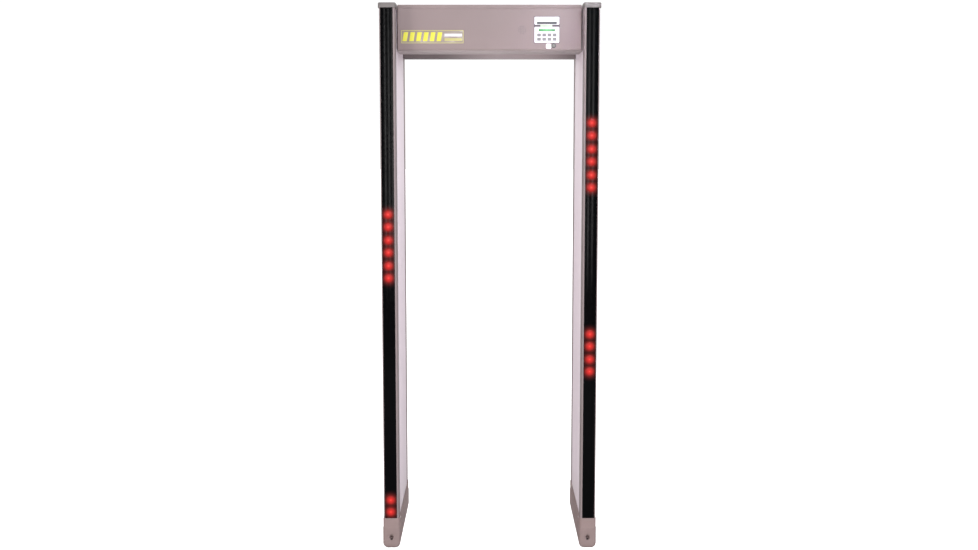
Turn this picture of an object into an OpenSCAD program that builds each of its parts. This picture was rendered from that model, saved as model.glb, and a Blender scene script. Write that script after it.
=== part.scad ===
// Walk-through metal detector gate: two antenna side panels, joined at the front by a control
// unit with a top-hinged cover and at the rear by a crosspiece.
// Origin: on the floor, in the middle of the footprint. +Z is up and people walk along +Y.

/* [Gate] */
// Height from the floor to the top of the end caps
gate_h = 2226; // [2150:1:2400]
// Clear width between the inner faces of the side panels
passage_w = 752; // [740:1:900]
// Thickness of a side panel
panel_t = 62; // [60:1:70]
// Depth of a side panel along the walking direction
panel_d = 576; // [540:2:700]

/* [Boots and caps] */
// How far boots and caps stand proud of the panel's width
proud_x = 4.5; // [3:0.5:8]
// How far boots and caps stand proud of the panel's depth
proud_y = 4; // [3:0.5:8]
// Height of the top edge of a boot above the floor
boot_h = 126; // [110:1:160]
// Height of a top cap
cap_h = 20; // [16:1:30]
// Height of the floor-anchor mouth above the floor
anchor_z = 46; // [44:1:48]
// Radius of the floor-anchor bore
anchor_r = 5; // [3:0.5:5.5]

/* [Edge channels and lights] */
// Width of the dark light strip
lens_w = 50; // [46:1:50]
// Width of the channel's lip on the outer side of the strip
lip_out = 4; // [4:0.5:6]
// Radius of one zone light
light_r = 18; // [12:1:20]
// Distance between the two lights of a zone
light_gap = 50; // [42:1:52]
// Height of one detection zone
zone_h = 104; // [96:1:120]
// Lit zones of the left strip: [height of the group's middle, number of zones]
lit_left = [[1257, 3], [178, 1]];
// Lit zones of the right strip: [height of the group's middle, number of zones]
lit_right = [[1624, 3], [821, 2]];

/* [Control unit] */
// Height of the control unit's chassis
header_h = 182; // [180:1:200]
// Depth of the chassis behind the cover
chassis_d = 180; // [150:1:220]
// Setback of the cover's face behind the panels' front edge
header_set = 88; // [60:1:110]
// Thickness of the hinged cover
cover_t = 18; // [16:1:24]
// Width of the control plates
plate_w = 100; // [96:1:110]
// Travel of a key
key_travel = 0.8; // [0.4:0.1:1]

/* [Crosspiece] */
// Height of the rear crosspiece
cross_h = 130; // [120:1:150]
// Depth of the rear crosspiece
cross_d = 60; // [50:1:70]

/* [Hidden] */
$fn = 48;

eps = 1;
in_x = passage_w / 2;
out_x = in_x + panel_t;
half_d = panel_d / 2;

// boots, caps and the panel between them
pad_t = 3;
pad_sunk = 1;
boot_z0 = pad_t - pad_sunk;
panel_z0 = 62;
cap_top_t = 6;
panel_z1 = gate_h - cap_top_t;
panel_len = panel_z1 - panel_z0;
fit_gap = 0.2;
anchor_seat = 18;
anchor_mouth_r = 8.5;
screw_y = half_d - 63;
screw_z = boot_h - 14;
screw_r = 2;
screw_head_r = 4.5;
screw_head_t = 2.4;

// edge channel section, measured from the channel's outer edge inwards
leg_t = 3;
lip_t = 4;
cavity_wall = 3;
cavity_d = 20;
web_t = 3;
leg_d = 43;
channel_r = 4;
channel_d = lip_t + cavity_d + web_t + leg_d;
lip_in = panel_t - lens_w - lip_out;
lens_recess = 0.5;
flange_t = 2;
board_t = 1.6;
light_x = in_x + lip_in + lens_w / 2;

// panel core
core_in = in_x + leg_t;
core_out = out_x - leg_t;
core_y = half_d - (channel_d - leg_d);
skin_t = 2.4;
skin_y = half_d - channel_d;
cells = 5;
rail_h = 44;
cells_z0 = 150;
cells_z1 = gate_h - 225;
cell_h = (cells_z1 - cells_z0 - (cells - 1) * rail_h) / cells;
cell_y = core_y - 61;
coil_w = 8;
coil_y = core_y - 30;

// control unit
cover_y0 = -half_d + header_set;
chassis_y0 = cover_y0 + cover_t + 2;
chassis_y1 = chassis_y0 + chassis_d;
header_z1 = gate_h - 2;
header_z0 = header_z1 - header_h;
sheet = 2;
seam = 0.05;
flange_side = 12;
flange_low = 8;
flange_top = 14;
cover_gap = 0.7;
cover_x = in_x - proud_x - cover_gap;
cover_z0 = header_z0 + 5;
cover_z1 = header_z1 - 14;
hinge_y = chassis_y0 - 6;
hinge_z = header_z1 - 7;
barrel_r = 4;
pin_r = 1.5;
run_gap = 0.05;
knuckles = 9;
knuckle_len = 2 * (cover_x - 10) / knuckles;
knuckle_gap = 0.4;

// control plates on the cover
plate_t = 2.5;
base_t = 1;
plate_x = in_x - 145;
upper_z = header_z0 + 105;
upper_h = 31;
lower_z = header_z0 + 33;
lower_h = 63;
plate_y0 = cover_y0 - base_t - plate_t;
key_w = 15;
key_h = 12;
key_cols = 4;
key_pitch_x = 21;
key_pitch_z = 16.8;
key_z = lower_z + 14;
key_gap = 0.3;
key_proud = 1.2;
board_y = cover_y0 + 10;
switch_t = 1.6;
window_w = 79;
window_h = 7;
bar_w = 67;
bar_h = 10;
bar_z = lower_z + lower_h - 18;
window_z = upper_z + 3;
lock_x = plate_x + 28;
lock_z = header_z0 + 21.5;
lock_ring_r = 9.5;
lock_barrel_r = 8;
plug_r = 6;
cam_len = 16;
cam_t = 2.5;
cam_y = chassis_y0 + sheet + 0.5;
spindle_r = 3.5;
cam_screw_r = 1.5;
tile_x = plate_x + 7.5;
tile_w = 21;
sounder_x = plate_x - 100;
sounder_z = header_z0 + 85;
sounder_r = 17;
badge_w = 252;
badge_h = 52;
badge_x0 = -in_x + 19;
badge_z0 = header_z0 + 31;

// crosspiece, frame bolts and rear fittings
cross_y0 = half_d - 106;
cross_z0 = header_z0 - 6;
bolt_r = 4;
bolt_head_r = 7;
bolt_head_t = 5;
bolt_len = 30;
inlet_x = -in_x + 60;
inlet_z = header_z1 - 28;
inlet_r = 4.5;
gland_r = 8;
switch_x = -in_x + 115;
rocker_r = 9.5;
rocker_w = 13;

// Where the two lights of each zone in the lit groups sit
function zone_middles(groups) =
    [for (g = groups) for (i = [0 : g[1] - 1]) g[0] + (i - (g[1] - 1) / 2) * zone_h];
function light_heights(groups) =
    [for (z = zone_middles(groups)) for (s = [-1, 1]) z + s * light_gap / 2];

// Lower edge of core cell i
function cell_z(i) = cells_z0 + i * (cell_h + rail_h);

// Heights of the horizontal coil runs, one on each rail
function coil_heights() =
    [for (i = [0 : cells]) cell_z(i) - rail_h / 2];

// The eight control unit bolts and the four crosspiece bolts: [y, z]
function bolt_places() = concat(
    [for (y = [chassis_y0 + 30, chassis_y1 - 40]) for (z = [header_z0 + 36, header_z1 - 38]) [y, z]],
    [for (z = [cross_z0 + 30, cross_z0 + cross_h - 30]) [cross_y0 + cross_d / 2, z]]
);

// A box given by its two corners
module span(a, b) {
    translate(a) cube(b - a);
}

// A rod along X or Y starting at the point p
module rod_x(p, r, len) {
    translate(p) rotate([0, 90, 0]) cylinder(r = r, h = len);
}
module rod_y(p, r, len) {
    translate(p) rotate([-90, 0, 0]) cylinder(r = r, h = len);
}

// A rectangle with round corners, from the origin
module round_rect(w, d, r) {
    translate([r, 0]) square([w - 2 * r, d]);
    translate([0, r]) square([w, d - 2 * r]);
    for (x = [r, w - r])
        for (y = [r, d - r])
            translate([x, y]) circle(r);
}

// Left-hand copies are mirror images of the right-hand parts
module on_left() {
    mirror([1, 0, 0]) children();
}
module at_rear() {
    mirror([0, 1, 0]) children();
}

// Coil runs in the plane of the panel, widened by gap for the groove that holds them
module coil_runs(gap) {
    reach = coil_y + coil_w / 2 + gap;
    heights = coil_heights();
    for (s = [-1, 1])
        translate([s * coil_y - coil_w / 2 - gap, heights[0] - coil_w / 2 - gap])
            square([coil_w + 2 * gap, heights[cells] - heights[0] + coil_w + 2 * gap]);
    for (z = heights)
        translate([-reach, z - coil_w / 2 - gap]) square([2 * reach, coil_w + 2 * gap]);
}

// Lays an outline drawn as [y, z] on the plane x = x0 and gives it thickness along +X
module on_panel(x0, t) {
    translate([x0, 0, 0]) rotate([90, 0, 90]) linear_extrude(t) children();
}

// Timber frame with five open cells and a groove for the antenna coil
module core() {
    color("burlywood") difference() {
        span([core_in, -core_y, panel_z0], [core_out, core_y, panel_z1]);
        for (i = [0 : cells - 1])
            span([core_in - eps, -cell_y, cell_z(i)], [core_out + eps, cell_y, cell_z(i) + cell_h]);
        on_panel(core_in - eps, eps + coil_w + 1) coil_runs(0.5);
        for (p = bolt_places())
            rod_x([core_in - eps, p[0], p[1]], bolt_r, bolt_len + eps);
        boot_screw_shanks(screw_r);
    }
}

// Inner and outer laminate faces, set just back from the channels
module skins() {
    color([0.87, 0.83, 0.87]) difference() {
        union() {
            span([core_in - skin_t, -skin_y, panel_z0], [core_in, skin_y, panel_z1]);
            span([core_out, -skin_y, panel_z0], [core_out + skin_t, skin_y, panel_z1]);
        }
        for (p = bolt_places())
            rod_x([in_x - eps, p[0], p[1]], bolt_r + fit_gap, leg_t + 2 * eps);
    }
}

// Wound antenna coil: a ladder of loops, one per core cell
module coil() {
    color("chocolate") on_panel(core_in + 0.5, coil_w) coil_runs(0);
}

// Section of an edge channel: lips, light cavity, web and two legs round the core
module channel_section() {
    difference() {
        union() {
            translate([channel_r, 0]) square([panel_t - 2 * channel_r, channel_d]);
            translate([0, channel_r]) square([panel_t, channel_d - channel_r]);
            translate([channel_r, channel_r]) circle(channel_r);
            translate([panel_t - channel_r, channel_r]) circle(channel_r);
        }
        translate([lip_in, -eps]) square([lens_w, lip_t + 2 * eps]);
        translate([cavity_wall, lip_t]) square([panel_t - 2 * cavity_wall, cavity_d]);
        translate([leg_t, channel_d - leg_d]) square([panel_t - 2 * leg_t, leg_d + eps]);
    }
}

module channel() {
    color([0.57, 0.53, 0.52]) difference() {
        translate([in_x, -half_d, panel_z0]) linear_extrude(panel_len) channel_section();
        boot_screw_shanks(screw_r + fit_gap);
    }
}

// Dark light strip with a flange held behind the channel's lips
module lens(heights) {
    color([0.05, 0.05, 0.06]) difference() {
        union() {
            span([in_x + lip_in, -half_d + lens_recess, panel_z0],
                [in_x + lip_in + lens_w, -half_d + lip_t, panel_z1]);
            span([in_x + cavity_wall, -half_d + lip_t, panel_z0],
                [out_x - cavity_wall, -half_d + lip_t + flange_t, panel_z1]);
        }
        for (z = heights)
            rod_y([light_x, -half_d - eps, z], light_r, lip_t + flange_t + 2 * eps);
    }
}

// Printed board at the back of the light cavity, with a driver chip for each zone
module led_board() {
    back = -half_d + lip_t + cavity_d;
    color("darkgreen")
        span([in_x + cavity_wall + 2, back - board_t, boot_h],
            [out_x - cavity_wall - 2, back, panel_z1 - 20]);
    color([0.1, 0.1, 0.1])
        for (z = [boot_h + zone_h / 2 : zone_h : panel_z1 - zone_h])
            span([in_x + cavity_wall + 2.5, back - board_t - 1.2, z - 4],
                [in_x + cavity_wall + 5.5, back - board_t, z + 4]);
}

// Lit zone lights: a reflector cup from the board to the strip's face, closed by a red diffuser
module zone_lights(heights) {
    board_front = -half_d + lip_t + cavity_d - board_t;
    len = board_front + half_d - lens_recess;
    color([1, 0.16, 0.2])
        for (z = heights)
            difference() {
                rod_y([light_x, -half_d + lens_recess, z], light_r, len);
                rod_y([light_x, -half_d + lens_recess + 5, z], light_r - 2, len);
            }
}

// Screws that hold a boot to the panel, as bare shank rods of radius r
module boot_screw_shanks(r) {
    for (y = [-screw_y, screw_y]) {
        rod_x([in_x - proud_x + screw_head_t, y, screw_z], r, proud_x - screw_head_t + leg_t + 14);
        rod_x([core_out - 14, y, screw_z], r, 14 + leg_t + proud_x - screw_head_t);
    }
}

module boot_screws() {
    color("silver") {
        boot_screw_shanks(screw_r);
        for (y = [-screw_y, screw_y]) {
            rod_x([in_x - proud_x, y, screw_z], screw_head_r, screw_head_t);
            rod_x([out_x + proud_x - screw_head_t, y, screw_z], screw_head_r, screw_head_t);
        }
    }
}

// Outline of a boot or cap seen from above
module plan_outline(r) {
    translate([in_x - proud_x, -half_d - proud_y])
        round_rect(panel_t + 2 * proud_x, panel_d + 2 * proud_y, r);
}

// Cap with a pocket for the panel and notches where the control unit and crosspiece meet it
module cap() {
    color([0.64, 0.6, 0.59]) difference() {
        translate([0, 0, gate_h - cap_h]) linear_extrude(cap_h) plan_outline(8);
        span([in_x - fit_gap, -half_d - fit_gap, gate_h - cap_h - eps],
            [out_x + fit_gap, half_d + fit_gap, panel_z1]);
        span([in_x - proud_x - eps, cover_y0 - 4, gate_h - cap_h - eps],
            [in_x, chassis_y1 + 2, gate_h + eps]);
    }
}

// Sloping floor-anchor bore with a wider mouth, through the nose of a boot
module anchor_cut() {
    translate([in_x + panel_t / 2, -half_d - proud_y, anchor_z]) rotate([-135, 0, 0]) {
        translate([0, 0, anchor_seat]) cylinder(r = anchor_r, h = 60);
        translate([0, 0, anchor_seat - 40]) cylinder(r = anchor_mouth_r, h = 40);
    }
}

// Moulded boot: a deep shoe with a pocket for the panel and an anchor bore at each end
module boot() {
    w = panel_t + 2 * proud_x;
    tall = boot_h - boot_z0;
    corner = 13;
    color([0.6, 0.55, 0.54]) difference() {
        intersection() {
            translate([0, 0, boot_z0]) linear_extrude(tall) plan_outline(9);
            translate([in_x - proud_x, half_d + proud_y, boot_z0]) rotate([90, 0, 0])
                linear_extrude(panel_d + 2 * proud_y) {
                    translate([corner, 0]) square([w - 2 * corner, tall]);
                    translate([0, corner]) square([w, tall - corner]);
                    for (x = [corner, w - corner])
                        translate([x, corner]) circle(corner);
                }
        }
        span([in_x - fit_gap, -half_d - fit_gap, panel_z0],
            [out_x + fit_gap, half_d + fit_gap, boot_h + eps]);
        anchor_cut();
        at_rear() anchor_cut();
        pad_blocks(boot_z0 - eps, pad_t);
        boot_screw_shanks(screw_r + fit_gap);
        for (y = [-screw_y, screw_y]) {
            rod_x([in_x - proud_x - eps, y, screw_z], screw_head_r, screw_head_t + eps);
            rod_x([out_x + proud_x - screw_head_t, y, screw_z], screw_head_r, screw_head_t + eps);
        }
    }
}

// Four pads under a boot, between the heights z0 and z1
module pad_blocks(z0, z1) {
    for (y = [-half_d + 2, -half_d + 56, half_d - 156, half_d - 26])
        span([in_x + 11, y, z0], [out_x - 11, y + (abs(y) > half_d - 30 ? 24 : 100), z1]);
}

module pads() {
    color([0.12, 0.12, 0.12]) pad_blocks(0, pad_t);
}

// Sheet plates of the chassis: bottom, top, back, two ends and four front flanges, each a solid
// of its own with a fine seam to the next
module chassis_plates() {
    x = in_x;
    y0 = chassis_y0;
    y1 = chassis_y1 - sheet - seam;
    low = header_z0 + sheet + seam;
    high = header_z1 - sheet - seam;
    edge = x - sheet - seam;
    span([-x, y0, header_z0], [x, y1, header_z0 + sheet]);
    span([-x, y0, header_z1 - sheet], [x, y1, header_z1]);
    span([-x, chassis_y1 - sheet, header_z0], [x, chassis_y1, header_z1]);
    span([-edge, y0, low], [edge, y0 + sheet, low + flange_low]);
    span([-edge, y0, high - flange_top], [edge, y0 + sheet, high]);
    for (side = [0, 1])
        mirror([side, 0, 0]) {
            span([x - sheet, y0, low], [x, y1, high]);
            span([edge - flange_side, y0, low + flange_low + seam],
                [edge, y0 + sheet, high - flange_top - seam]);
        }
}

// Sheet-metal chassis of the control unit, open at the front inside narrow flanges
module chassis() {
    x = in_x;
    color([0.66, 0.62, 0.61]) difference() {
        chassis_plates();
        for (i = [0 : 3])
            rod_x([-x - eps, bolt_places()[i][0], bolt_places()[i][1]], bolt_r + fit_gap, 2 * x + 2 * eps);
        rod_y([inlet_x, chassis_y1 - sheet - eps, inlet_z], gland_r + fit_gap, sheet + 2 * eps);
        span([switch_x - 9, chassis_y1 - sheet - eps, inlet_z - 12],
            [switch_x + 9, chassis_y1 + eps, inlet_z + 12]);
    }
}

// Knuckles first, first + 2, ... of the cover's hinge, bored for the pin
module knuckle_row(first) {
    for (i = [first : 2 : knuckles - 1])
        rod_x([-cover_x + 10 + i * knuckle_len + knuckle_gap, hinge_y, hinge_z], barrel_r,
            knuckle_len - 2 * knuckle_gap);
}

module pin_bore() {
    rod_x([-in_x, hinge_y, hinge_z], pin_r + run_gap, 2 * in_x);
}

// Hinge half on the chassis: a leaf in front of the top flange and a web to each knuckle
module hinge_fixed() {
    color("gray") difference() {
        union() {
            span([-cover_x + 10, chassis_y0 - 1.5, hinge_z - 7], [cover_x - 10, chassis_y0, hinge_z + 7]);
            knuckle_row(0);
            for (i = [0 : 2 : knuckles - 1])
                span([-cover_x + 10 + i * knuckle_len + knuckle_gap, hinge_y, hinge_z - 2],
                    [-cover_x + 10 + (i + 1) * knuckle_len - knuckle_gap, chassis_y0 - 1.5, hinge_z + 2]);
        }
        pin_bore();
    }
}

// Hinge half on the cover: a leaf on its top wall and a web up to each knuckle
module hinge_cover() {
    color("gray") difference() {
        union() {
            span([-cover_x + 10, hinge_y - 12, cover_z1], [cover_x - 10, hinge_y + 3, cover_z1 + 1.2]);
            knuckle_row(1);
            for (i = [1 : 2 : knuckles - 1])
                span([-cover_x + 10 + i * knuckle_len + knuckle_gap, hinge_y - 3, cover_z1],
                    [-cover_x + 10 + (i + 1) * knuckle_len - knuckle_gap, hinge_y, hinge_z]);
        }
        pin_bore();
    }
}

module hinge_pin() {
    color("silver") rod_x([-cover_x + 9, hinge_y, hinge_z], pin_r, 2 * (cover_x - 9));
}

// Bolts from inside the control unit and the crosspiece into both side panels
module frame_bolts() {
    module right_set() {
        for (p = bolt_places()) {
            rod_x([in_x - sheet - bolt_head_t, p[0], p[1]], bolt_head_r, bolt_head_t);
            rod_x([in_x - sheet, p[0], p[1]], bolt_r, sheet + leg_t + bolt_len - eps);
        }
    }
    color("silver") {
        right_set();
        on_left() right_set();
    }
}

module power_supply() {
    y1 = chassis_y1 - sheet;
    z0 = header_z0 + sheet;
    color([0.75, 0.76, 0.78]) difference() {
        span([-in_x + 170, y1 - 100, z0], [-in_x + 330, y1, z0 + 90]);
        for (i = [0 : 9])
            span([-in_x + 190 + i * 13, y1 - 101, z0 + 20], [-in_x + 194 + i * 13, y1 - 98, z0 + 70]);
    }
}

module battery() {
    y1 = chassis_y1 - sheet;
    z0 = header_z0 + sheet;
    color([0.2, 0.2, 0.22]) {
        span([-in_x + 20, y1 - 66, z0], [-in_x + 160, y1, z0 + 94]);
        for (x = [38, 142])
            span([-in_x + x - 4, y1 - 30, z0 + 94], [-in_x + x + 4, y1 - 22, z0 + 100]);
    }
}

// Row of wire clamps on the chassis's back wall
module terminal_block() {
    y1 = chassis_y1 - sheet;
    z = header_z0 + 120;
    color([0.16, 0.35, 0.2]) difference() {
        span([-60, y1 - 18, z], [60, y1, z + 26]);
        for (i = [0 : 11])
            rod_y([-55 + i * 10, y1 - 19, z + 8], 2.5, 13);
    }
}

// Frame of the power switch, in a window of the chassis's back wall
module switch_frame() {
    y = chassis_y1;
    x = switch_x;
    color([0.1, 0.1, 0.1]) difference() {
        union() {
            span([x - 11, y, inlet_z - 15], [x + 11, y + 1.5, inlet_z + 15]);
            span([x - 9, y - 22, inlet_z - 12], [x + 9, y, inlet_z + 12]);
        }
        span([x - rocker_w / 2 - 0.5, y - 20, inlet_z - 10], [x + rocker_w / 2 + 0.5, y + 2, inlet_z + 10]);
        rod_x([x - 8.5, y - 5, inlet_z], 1.2 + run_gap, 17);
    }
}

// Rocker turning on two short trunnions; its face is two flats that meet over the trunnions
module rocker() {
    y = chassis_y1 - 5;
    color([0.75, 0.1, 0.1]) {
        difference() {
            rod_x([switch_x - rocker_w / 2, y, inlet_z], rocker_r, rocker_w);
            translate([switch_x - eps, y, inlet_z])
                for (a = [-20, 8])
                    rotate([a, 0, 0]) translate([-rocker_w, 7.5, -2 * rocker_r])
                        cube([2 * rocker_w + 2, 2 * rocker_r, 4 * rocker_r]);
        }
        rod_x([switch_x - 8.2, y, inlet_z], 1.2, 16.4);
    }
}

// Cable inlet in the chassis's back wall: flange outside, nut inside, bored through
module cable_gland() {
    y = chassis_y1;
    color([0.12, 0.12, 0.12]) difference() {
        union() {
            rod_y([inlet_x, y, inlet_z], 12, 4);
            rod_y([inlet_x, y + 4, inlet_z], 9.5, 12);
            rod_y([inlet_x, y - 12, inlet_z], gland_r, 12);
            translate([inlet_x, y - sheet, inlet_z]) rotate([90, 0, 0]) cylinder(r = 12, h = 5, $fn = 6);
        }
        rod_y([inlet_x, y - 13, inlet_z], inlet_r, 30);
    }
}

// Rear crosspiece: a shallow tray bolted to the panels through its ends, closed by a back plate
module crosspiece() {
    x = in_x;
    y1 = cross_y0 + cross_d;
    z1 = cross_z0 + cross_h;
    color([0.6, 0.55, 0.55]) difference() {
        span([-x, cross_y0, cross_z0], [x, y1, z1]);
        span([-x + sheet, cross_y0 + sheet, cross_z0 + sheet], [x - sheet, y1 + eps, z1 - sheet]);
        for (i = [4, 5])
            rod_x([-x - eps, bolt_places()[i][0], bolt_places()[i][1]], bolt_r + fit_gap, 2 * x + 2 * eps);
    }
    color([0.6, 0.55, 0.55]) span([-x, y1 + seam, cross_z0], [x, y1 + sheet, z1]);
}

// Places of the sounder's holes in the cover
module sounder_holes() {
    for (i = [-2 : 2])
        for (j = [-2 : 2])
            if (i * i + j * j < 7)
                rod_y([sounder_x + i * 5.5, cover_y0 - eps, sounder_z + j * 5.5], 1.1, sheet + 2 * eps);
}

// Window behind the keys, through the base sheet and the cover
module key_window() {
    w = key_cols * key_pitch_x + 2;
    span([plate_x - w / 2, cover_y0 - base_t - eps, key_z - 9.5],
        [plate_x + w / 2, cover_y0 + sheet + eps, key_z + key_pitch_z + 9.5]);
}

// Hinged cover: a shallow tray whose face carries the controls, and a lip that stands in front of
// the hinge, with a fine seam between them
module cover() {
    color([0.68, 0.63, 0.63]) difference() {
        span([-cover_x, cover_y0, cover_z0], [cover_x, cover_y0 + cover_t, cover_z1]);
        span([-cover_x + sheet, cover_y0 + sheet, cover_z0 + sheet],
            [cover_x - sheet, cover_y0 + cover_t + eps, cover_z1 - sheet]);
        key_window();
        display_block();
        bar_block();
        sounder_holes();
        rod_y([lock_x, cover_y0 - eps, lock_z], lock_barrel_r + fit_gap, sheet + 2 * eps);
    }
    color([0.68, 0.63, 0.63])
        span([-cover_x, cover_y0, cover_z1 + seam], [cover_x, cover_y0 + sheet, gate_h]);
}

// Dark sheet between the cover and the two control plates
module control_base() {
    w = plate_w + 4;
    color([0.2, 0.18, 0.2]) difference() {
        span([plate_x - w / 2, cover_y0 - base_t, lower_z - 2],
            [plate_x + w / 2, cover_y0, upper_z + upper_h + 2]);
        key_window();
        display_block();
        bar_block();
    }
}

// Blocks that pass from the plates' faces back to the board
module display_block() {
    span([plate_x - window_w / 2, plate_y0 + 0.6, window_z],
        [plate_x + window_w / 2, board_y, window_z + window_h]);
}
module bar_block() {
    span([plate_x - bar_w / 2, plate_y0 + 0.4, bar_z],
        [plate_x + bar_w / 2, board_y, bar_z + bar_h]);
}

// A plate with round corners on the base sheet
module control_plate(z, h) {
    translate([plate_x - plate_w / 2, cover_y0 - base_t, z]) rotate([90, 0, 0])
        linear_extrude(plate_t) round_rect(plate_w, h, 3);
}

module display_plate() {
    color([0.95, 0.94, 0.95]) difference() {
        control_plate(upper_z, upper_h);
        span([plate_x - window_w / 2, plate_y0 - eps, window_z],
            [plate_x + window_w / 2, cover_y0, window_z + window_h]);
    }
}

module display_window() {
    color([0.1, 0.12, 0.13]) display_block();
}

// Middle of key i, counted along the rows
function key_place(i) = [
    plate_x + (i % key_cols - (key_cols - 1) / 2) * key_pitch_x,
    key_z + floor(i / key_cols) * key_pitch_z
];

module keypad_plate() {
    color([0.95, 0.95, 0.94]) difference() {
        control_plate(lower_z, lower_h);
        span([plate_x - bar_w / 2, plate_y0 - eps, bar_z],
            [plate_x + bar_w / 2, cover_y0, bar_z + bar_h]);
        for (i = [0 : 7])
            translate([key_place(i)[0], cover_y0, key_place(i)[1]]) rotate([90, 0, 0])
                linear_extrude(base_t + plate_t + eps)
                    translate([-key_w / 2 - key_gap, -key_h / 2 - key_gap])
                        round_rect(key_w + 2 * key_gap, key_h + 2 * key_gap, 2);
    }
}

// Level bargraph of the lower plate
module bargraph() {
    color([0.3, 0.65, 0.35]) bar_block();
}

// Status light in the gap between the plates
module light_bar() {
    z0 = lower_z + lower_h;
    color([0.86, 0.92, 0.82])
        span([plate_x - 26, cover_y0 - base_t - 1.6, z0 + 0.8],
            [plate_x + 22, cover_y0 - base_t, upper_z - 0.8]);
}

// One key: a cap through the plate, a flange behind it and a stem towards the board
module key(i) {
    x = key_place(i)[0];
    z = key_place(i)[1];
    back = cover_y0 - base_t + key_gap;
    color([0.62, 0.6, 0.62]) {
        translate([x - key_w / 2, back, z - key_h / 2]) rotate([90, 0, 0])
            linear_extrude(plate_t + key_gap + key_proud) round_rect(key_w, key_h, 2);
        span([x - key_w / 2 - 1.5, back, z - key_h / 2 - 1.5],
            [x + key_w / 2 + 1.5, back + 1, z + key_h / 2 + 1.5]);
        rod_y([x, back + 1, z], 2.5, board_y - switch_t - key_travel - key_gap - back - 1);
    }
}

// Blank white indicator tile beside the lock
module tile() {
    color([0.96, 0.95, 0.95]) translate([tile_x - tile_w / 2, cover_y0, lock_z - 2 - tile_w / 2])
        rotate([90, 0, 0]) linear_extrude(1.2) round_rect(tile_w, tile_w, 5);
}

// Plain identification plate: a raised border, slanted bars and two plain lines
module badge() {
    face = 0.6;
    color([0.85, 0.78, 0.2]) {
        translate([badge_x0, cover_y0, badge_z0]) rotate([90, 0, 0]) {
            linear_extrude(face) round_rect(badge_w, badge_h, 2);
            linear_extrude(2 * face) difference() {
                round_rect(badge_w, badge_h, 2);
                translate([2.5, 2.5]) square([badge_w - 5, badge_h - 5]);
            }
            for (i = [0 : 5])
                translate([5 + i * 27.5, 8, 0]) linear_extrude(2 * face)
                    polygon([[0, 0], [18, 0], [24, badge_h - 16], [6, badge_h - 16]]);
            for (z = [9, 27])
                translate([175, z, 0]) linear_extrude(2 * face) square([71, 11]);
        }
    }
}

module sounder() {
    color([0.15, 0.15, 0.15]) rod_y([sounder_x, cover_y0 + sheet, sounder_z], sounder_r, 11);
}

// Control board inside the cover, on four posts, with a switch under each key
module main_board() {
    x0 = plate_x - 62;
    x1 = plate_x + 62;
    z0 = lower_z - 2;
    z1 = upper_z + upper_h + 4;
    color([0.1, 0.4, 0.25]) {
        span([x0, board_y, z0], [x1, board_y + board_t, z1]);
        for (x = [x0 + 5, x1 - 5])
            for (z = [z0 + 6, z1 - 5])
                rod_y([x, cover_y0 + sheet, z], 3, board_y - cover_y0 - sheet);
        for (i = [0 : 7])
            span([key_place(i)[0] - 3, board_y - switch_t, key_place(i)[1] - 3],
                [key_place(i)[0] + 3, board_y, key_place(i)[1] + 3]);
    }
}

// Cam lock: ring on the face, barrel through the cover and a nut behind it
module lock_body() {
    color("silver") difference() {
        union() {
            rod_y([lock_x, cover_y0 - 3, lock_z], lock_ring_r, 3);
            rod_y([lock_x, cover_y0, lock_z], lock_barrel_r, cover_t + 4);
            translate([lock_x, cover_y0 + sheet + 3.5, lock_z]) rotate([90, 0, 0])
                cylinder(r = 11, h = 3.5, $fn = 6);
        }
        rod_y([lock_x, cover_y0 - 4, lock_z], plug_r + run_gap, cover_t + 10);
        rod_y([lock_x, cover_y0 - 4, lock_z], plug_r + 1 + run_gap, 3);
    }
}

// Turning plug with a key slot at the front, and a spindle at the back with a hole for the cam's screw
module lock_plug() {
    color([0.45, 0.45, 0.46]) difference() {
        union() {
            rod_y([lock_x, cover_y0 - 3.4, lock_z], plug_r + 1, 2);
            rod_y([lock_x, cover_y0 - 2, lock_z], plug_r, cam_y - cover_y0 + 2 - run_gap);
            rod_y([lock_x, cam_y - eps, lock_z], spindle_r, cam_t + eps);
        }
        span([lock_x - 0.8, cover_y0 - 4, lock_z - 4.2], [lock_x + 0.8, cover_y0 + 8, lock_z + 4.2]);
        rod_y([lock_x, cam_y - 6, lock_z], cam_screw_r + run_gap, cam_t + 7);
    }
}

// Cam on the plug's spindle, and the screw that holds it; turned down it catches behind the low flange
module lock_cam() {
    color([0.7, 0.7, 0.71]) {
        difference() {
            union() {
                rod_y([lock_x, cam_y, lock_z], plug_r, cam_t);
                span([lock_x, cam_y, lock_z - 4], [lock_x + cam_len, cam_y + cam_t, lock_z + 4]);
            }
            rod_y([lock_x, cam_y - eps, lock_z], spindle_r + run_gap, cam_t + 2 * eps);
        }
        rod_y([lock_x, cam_y + cam_t + run_gap, lock_z], plug_r - 1, 2);
        rod_y([lock_x, cam_y - 5, lock_z], cam_screw_r, cam_t + 6);
    }
}

on_left() core();  // core_left
on_left() skins();  // skins_left
on_left() coil();  // coil_left
on_left() channel();  // channel_front_left
on_left() at_rear() channel();  // channel_rear_left
on_left() lens(light_heights(lit_left));  // lens_front_left
on_left() at_rear() lens([]);  // lens_rear_left
on_left() led_board();  // led_board_left
on_left() zone_lights(light_heights(lit_left));  // zone_lights_left
on_left() cap();  // cap_left
on_left() boot();  // boot_left
on_left() boot_screws();  // boot_screws_left
on_left() pads();  // pads_left
core();  // core_right
skins();  // skins_right
coil();  // coil_right
channel();  // channel_front_right
at_rear() channel();  // channel_rear_right
lens(light_heights(lit_right));  // lens_front_right
at_rear() lens([]);  // lens_rear_right
led_board();  // led_board_right
zone_lights(light_heights(lit_right));  // zone_lights_right
cap();  // cap_right
boot();  // boot_right
boot_screws();  // boot_screws_right
pads();  // pads_right
chassis();
hinge_fixed();
hinge_pin();
frame_bolts();
power_supply();
battery();
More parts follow.
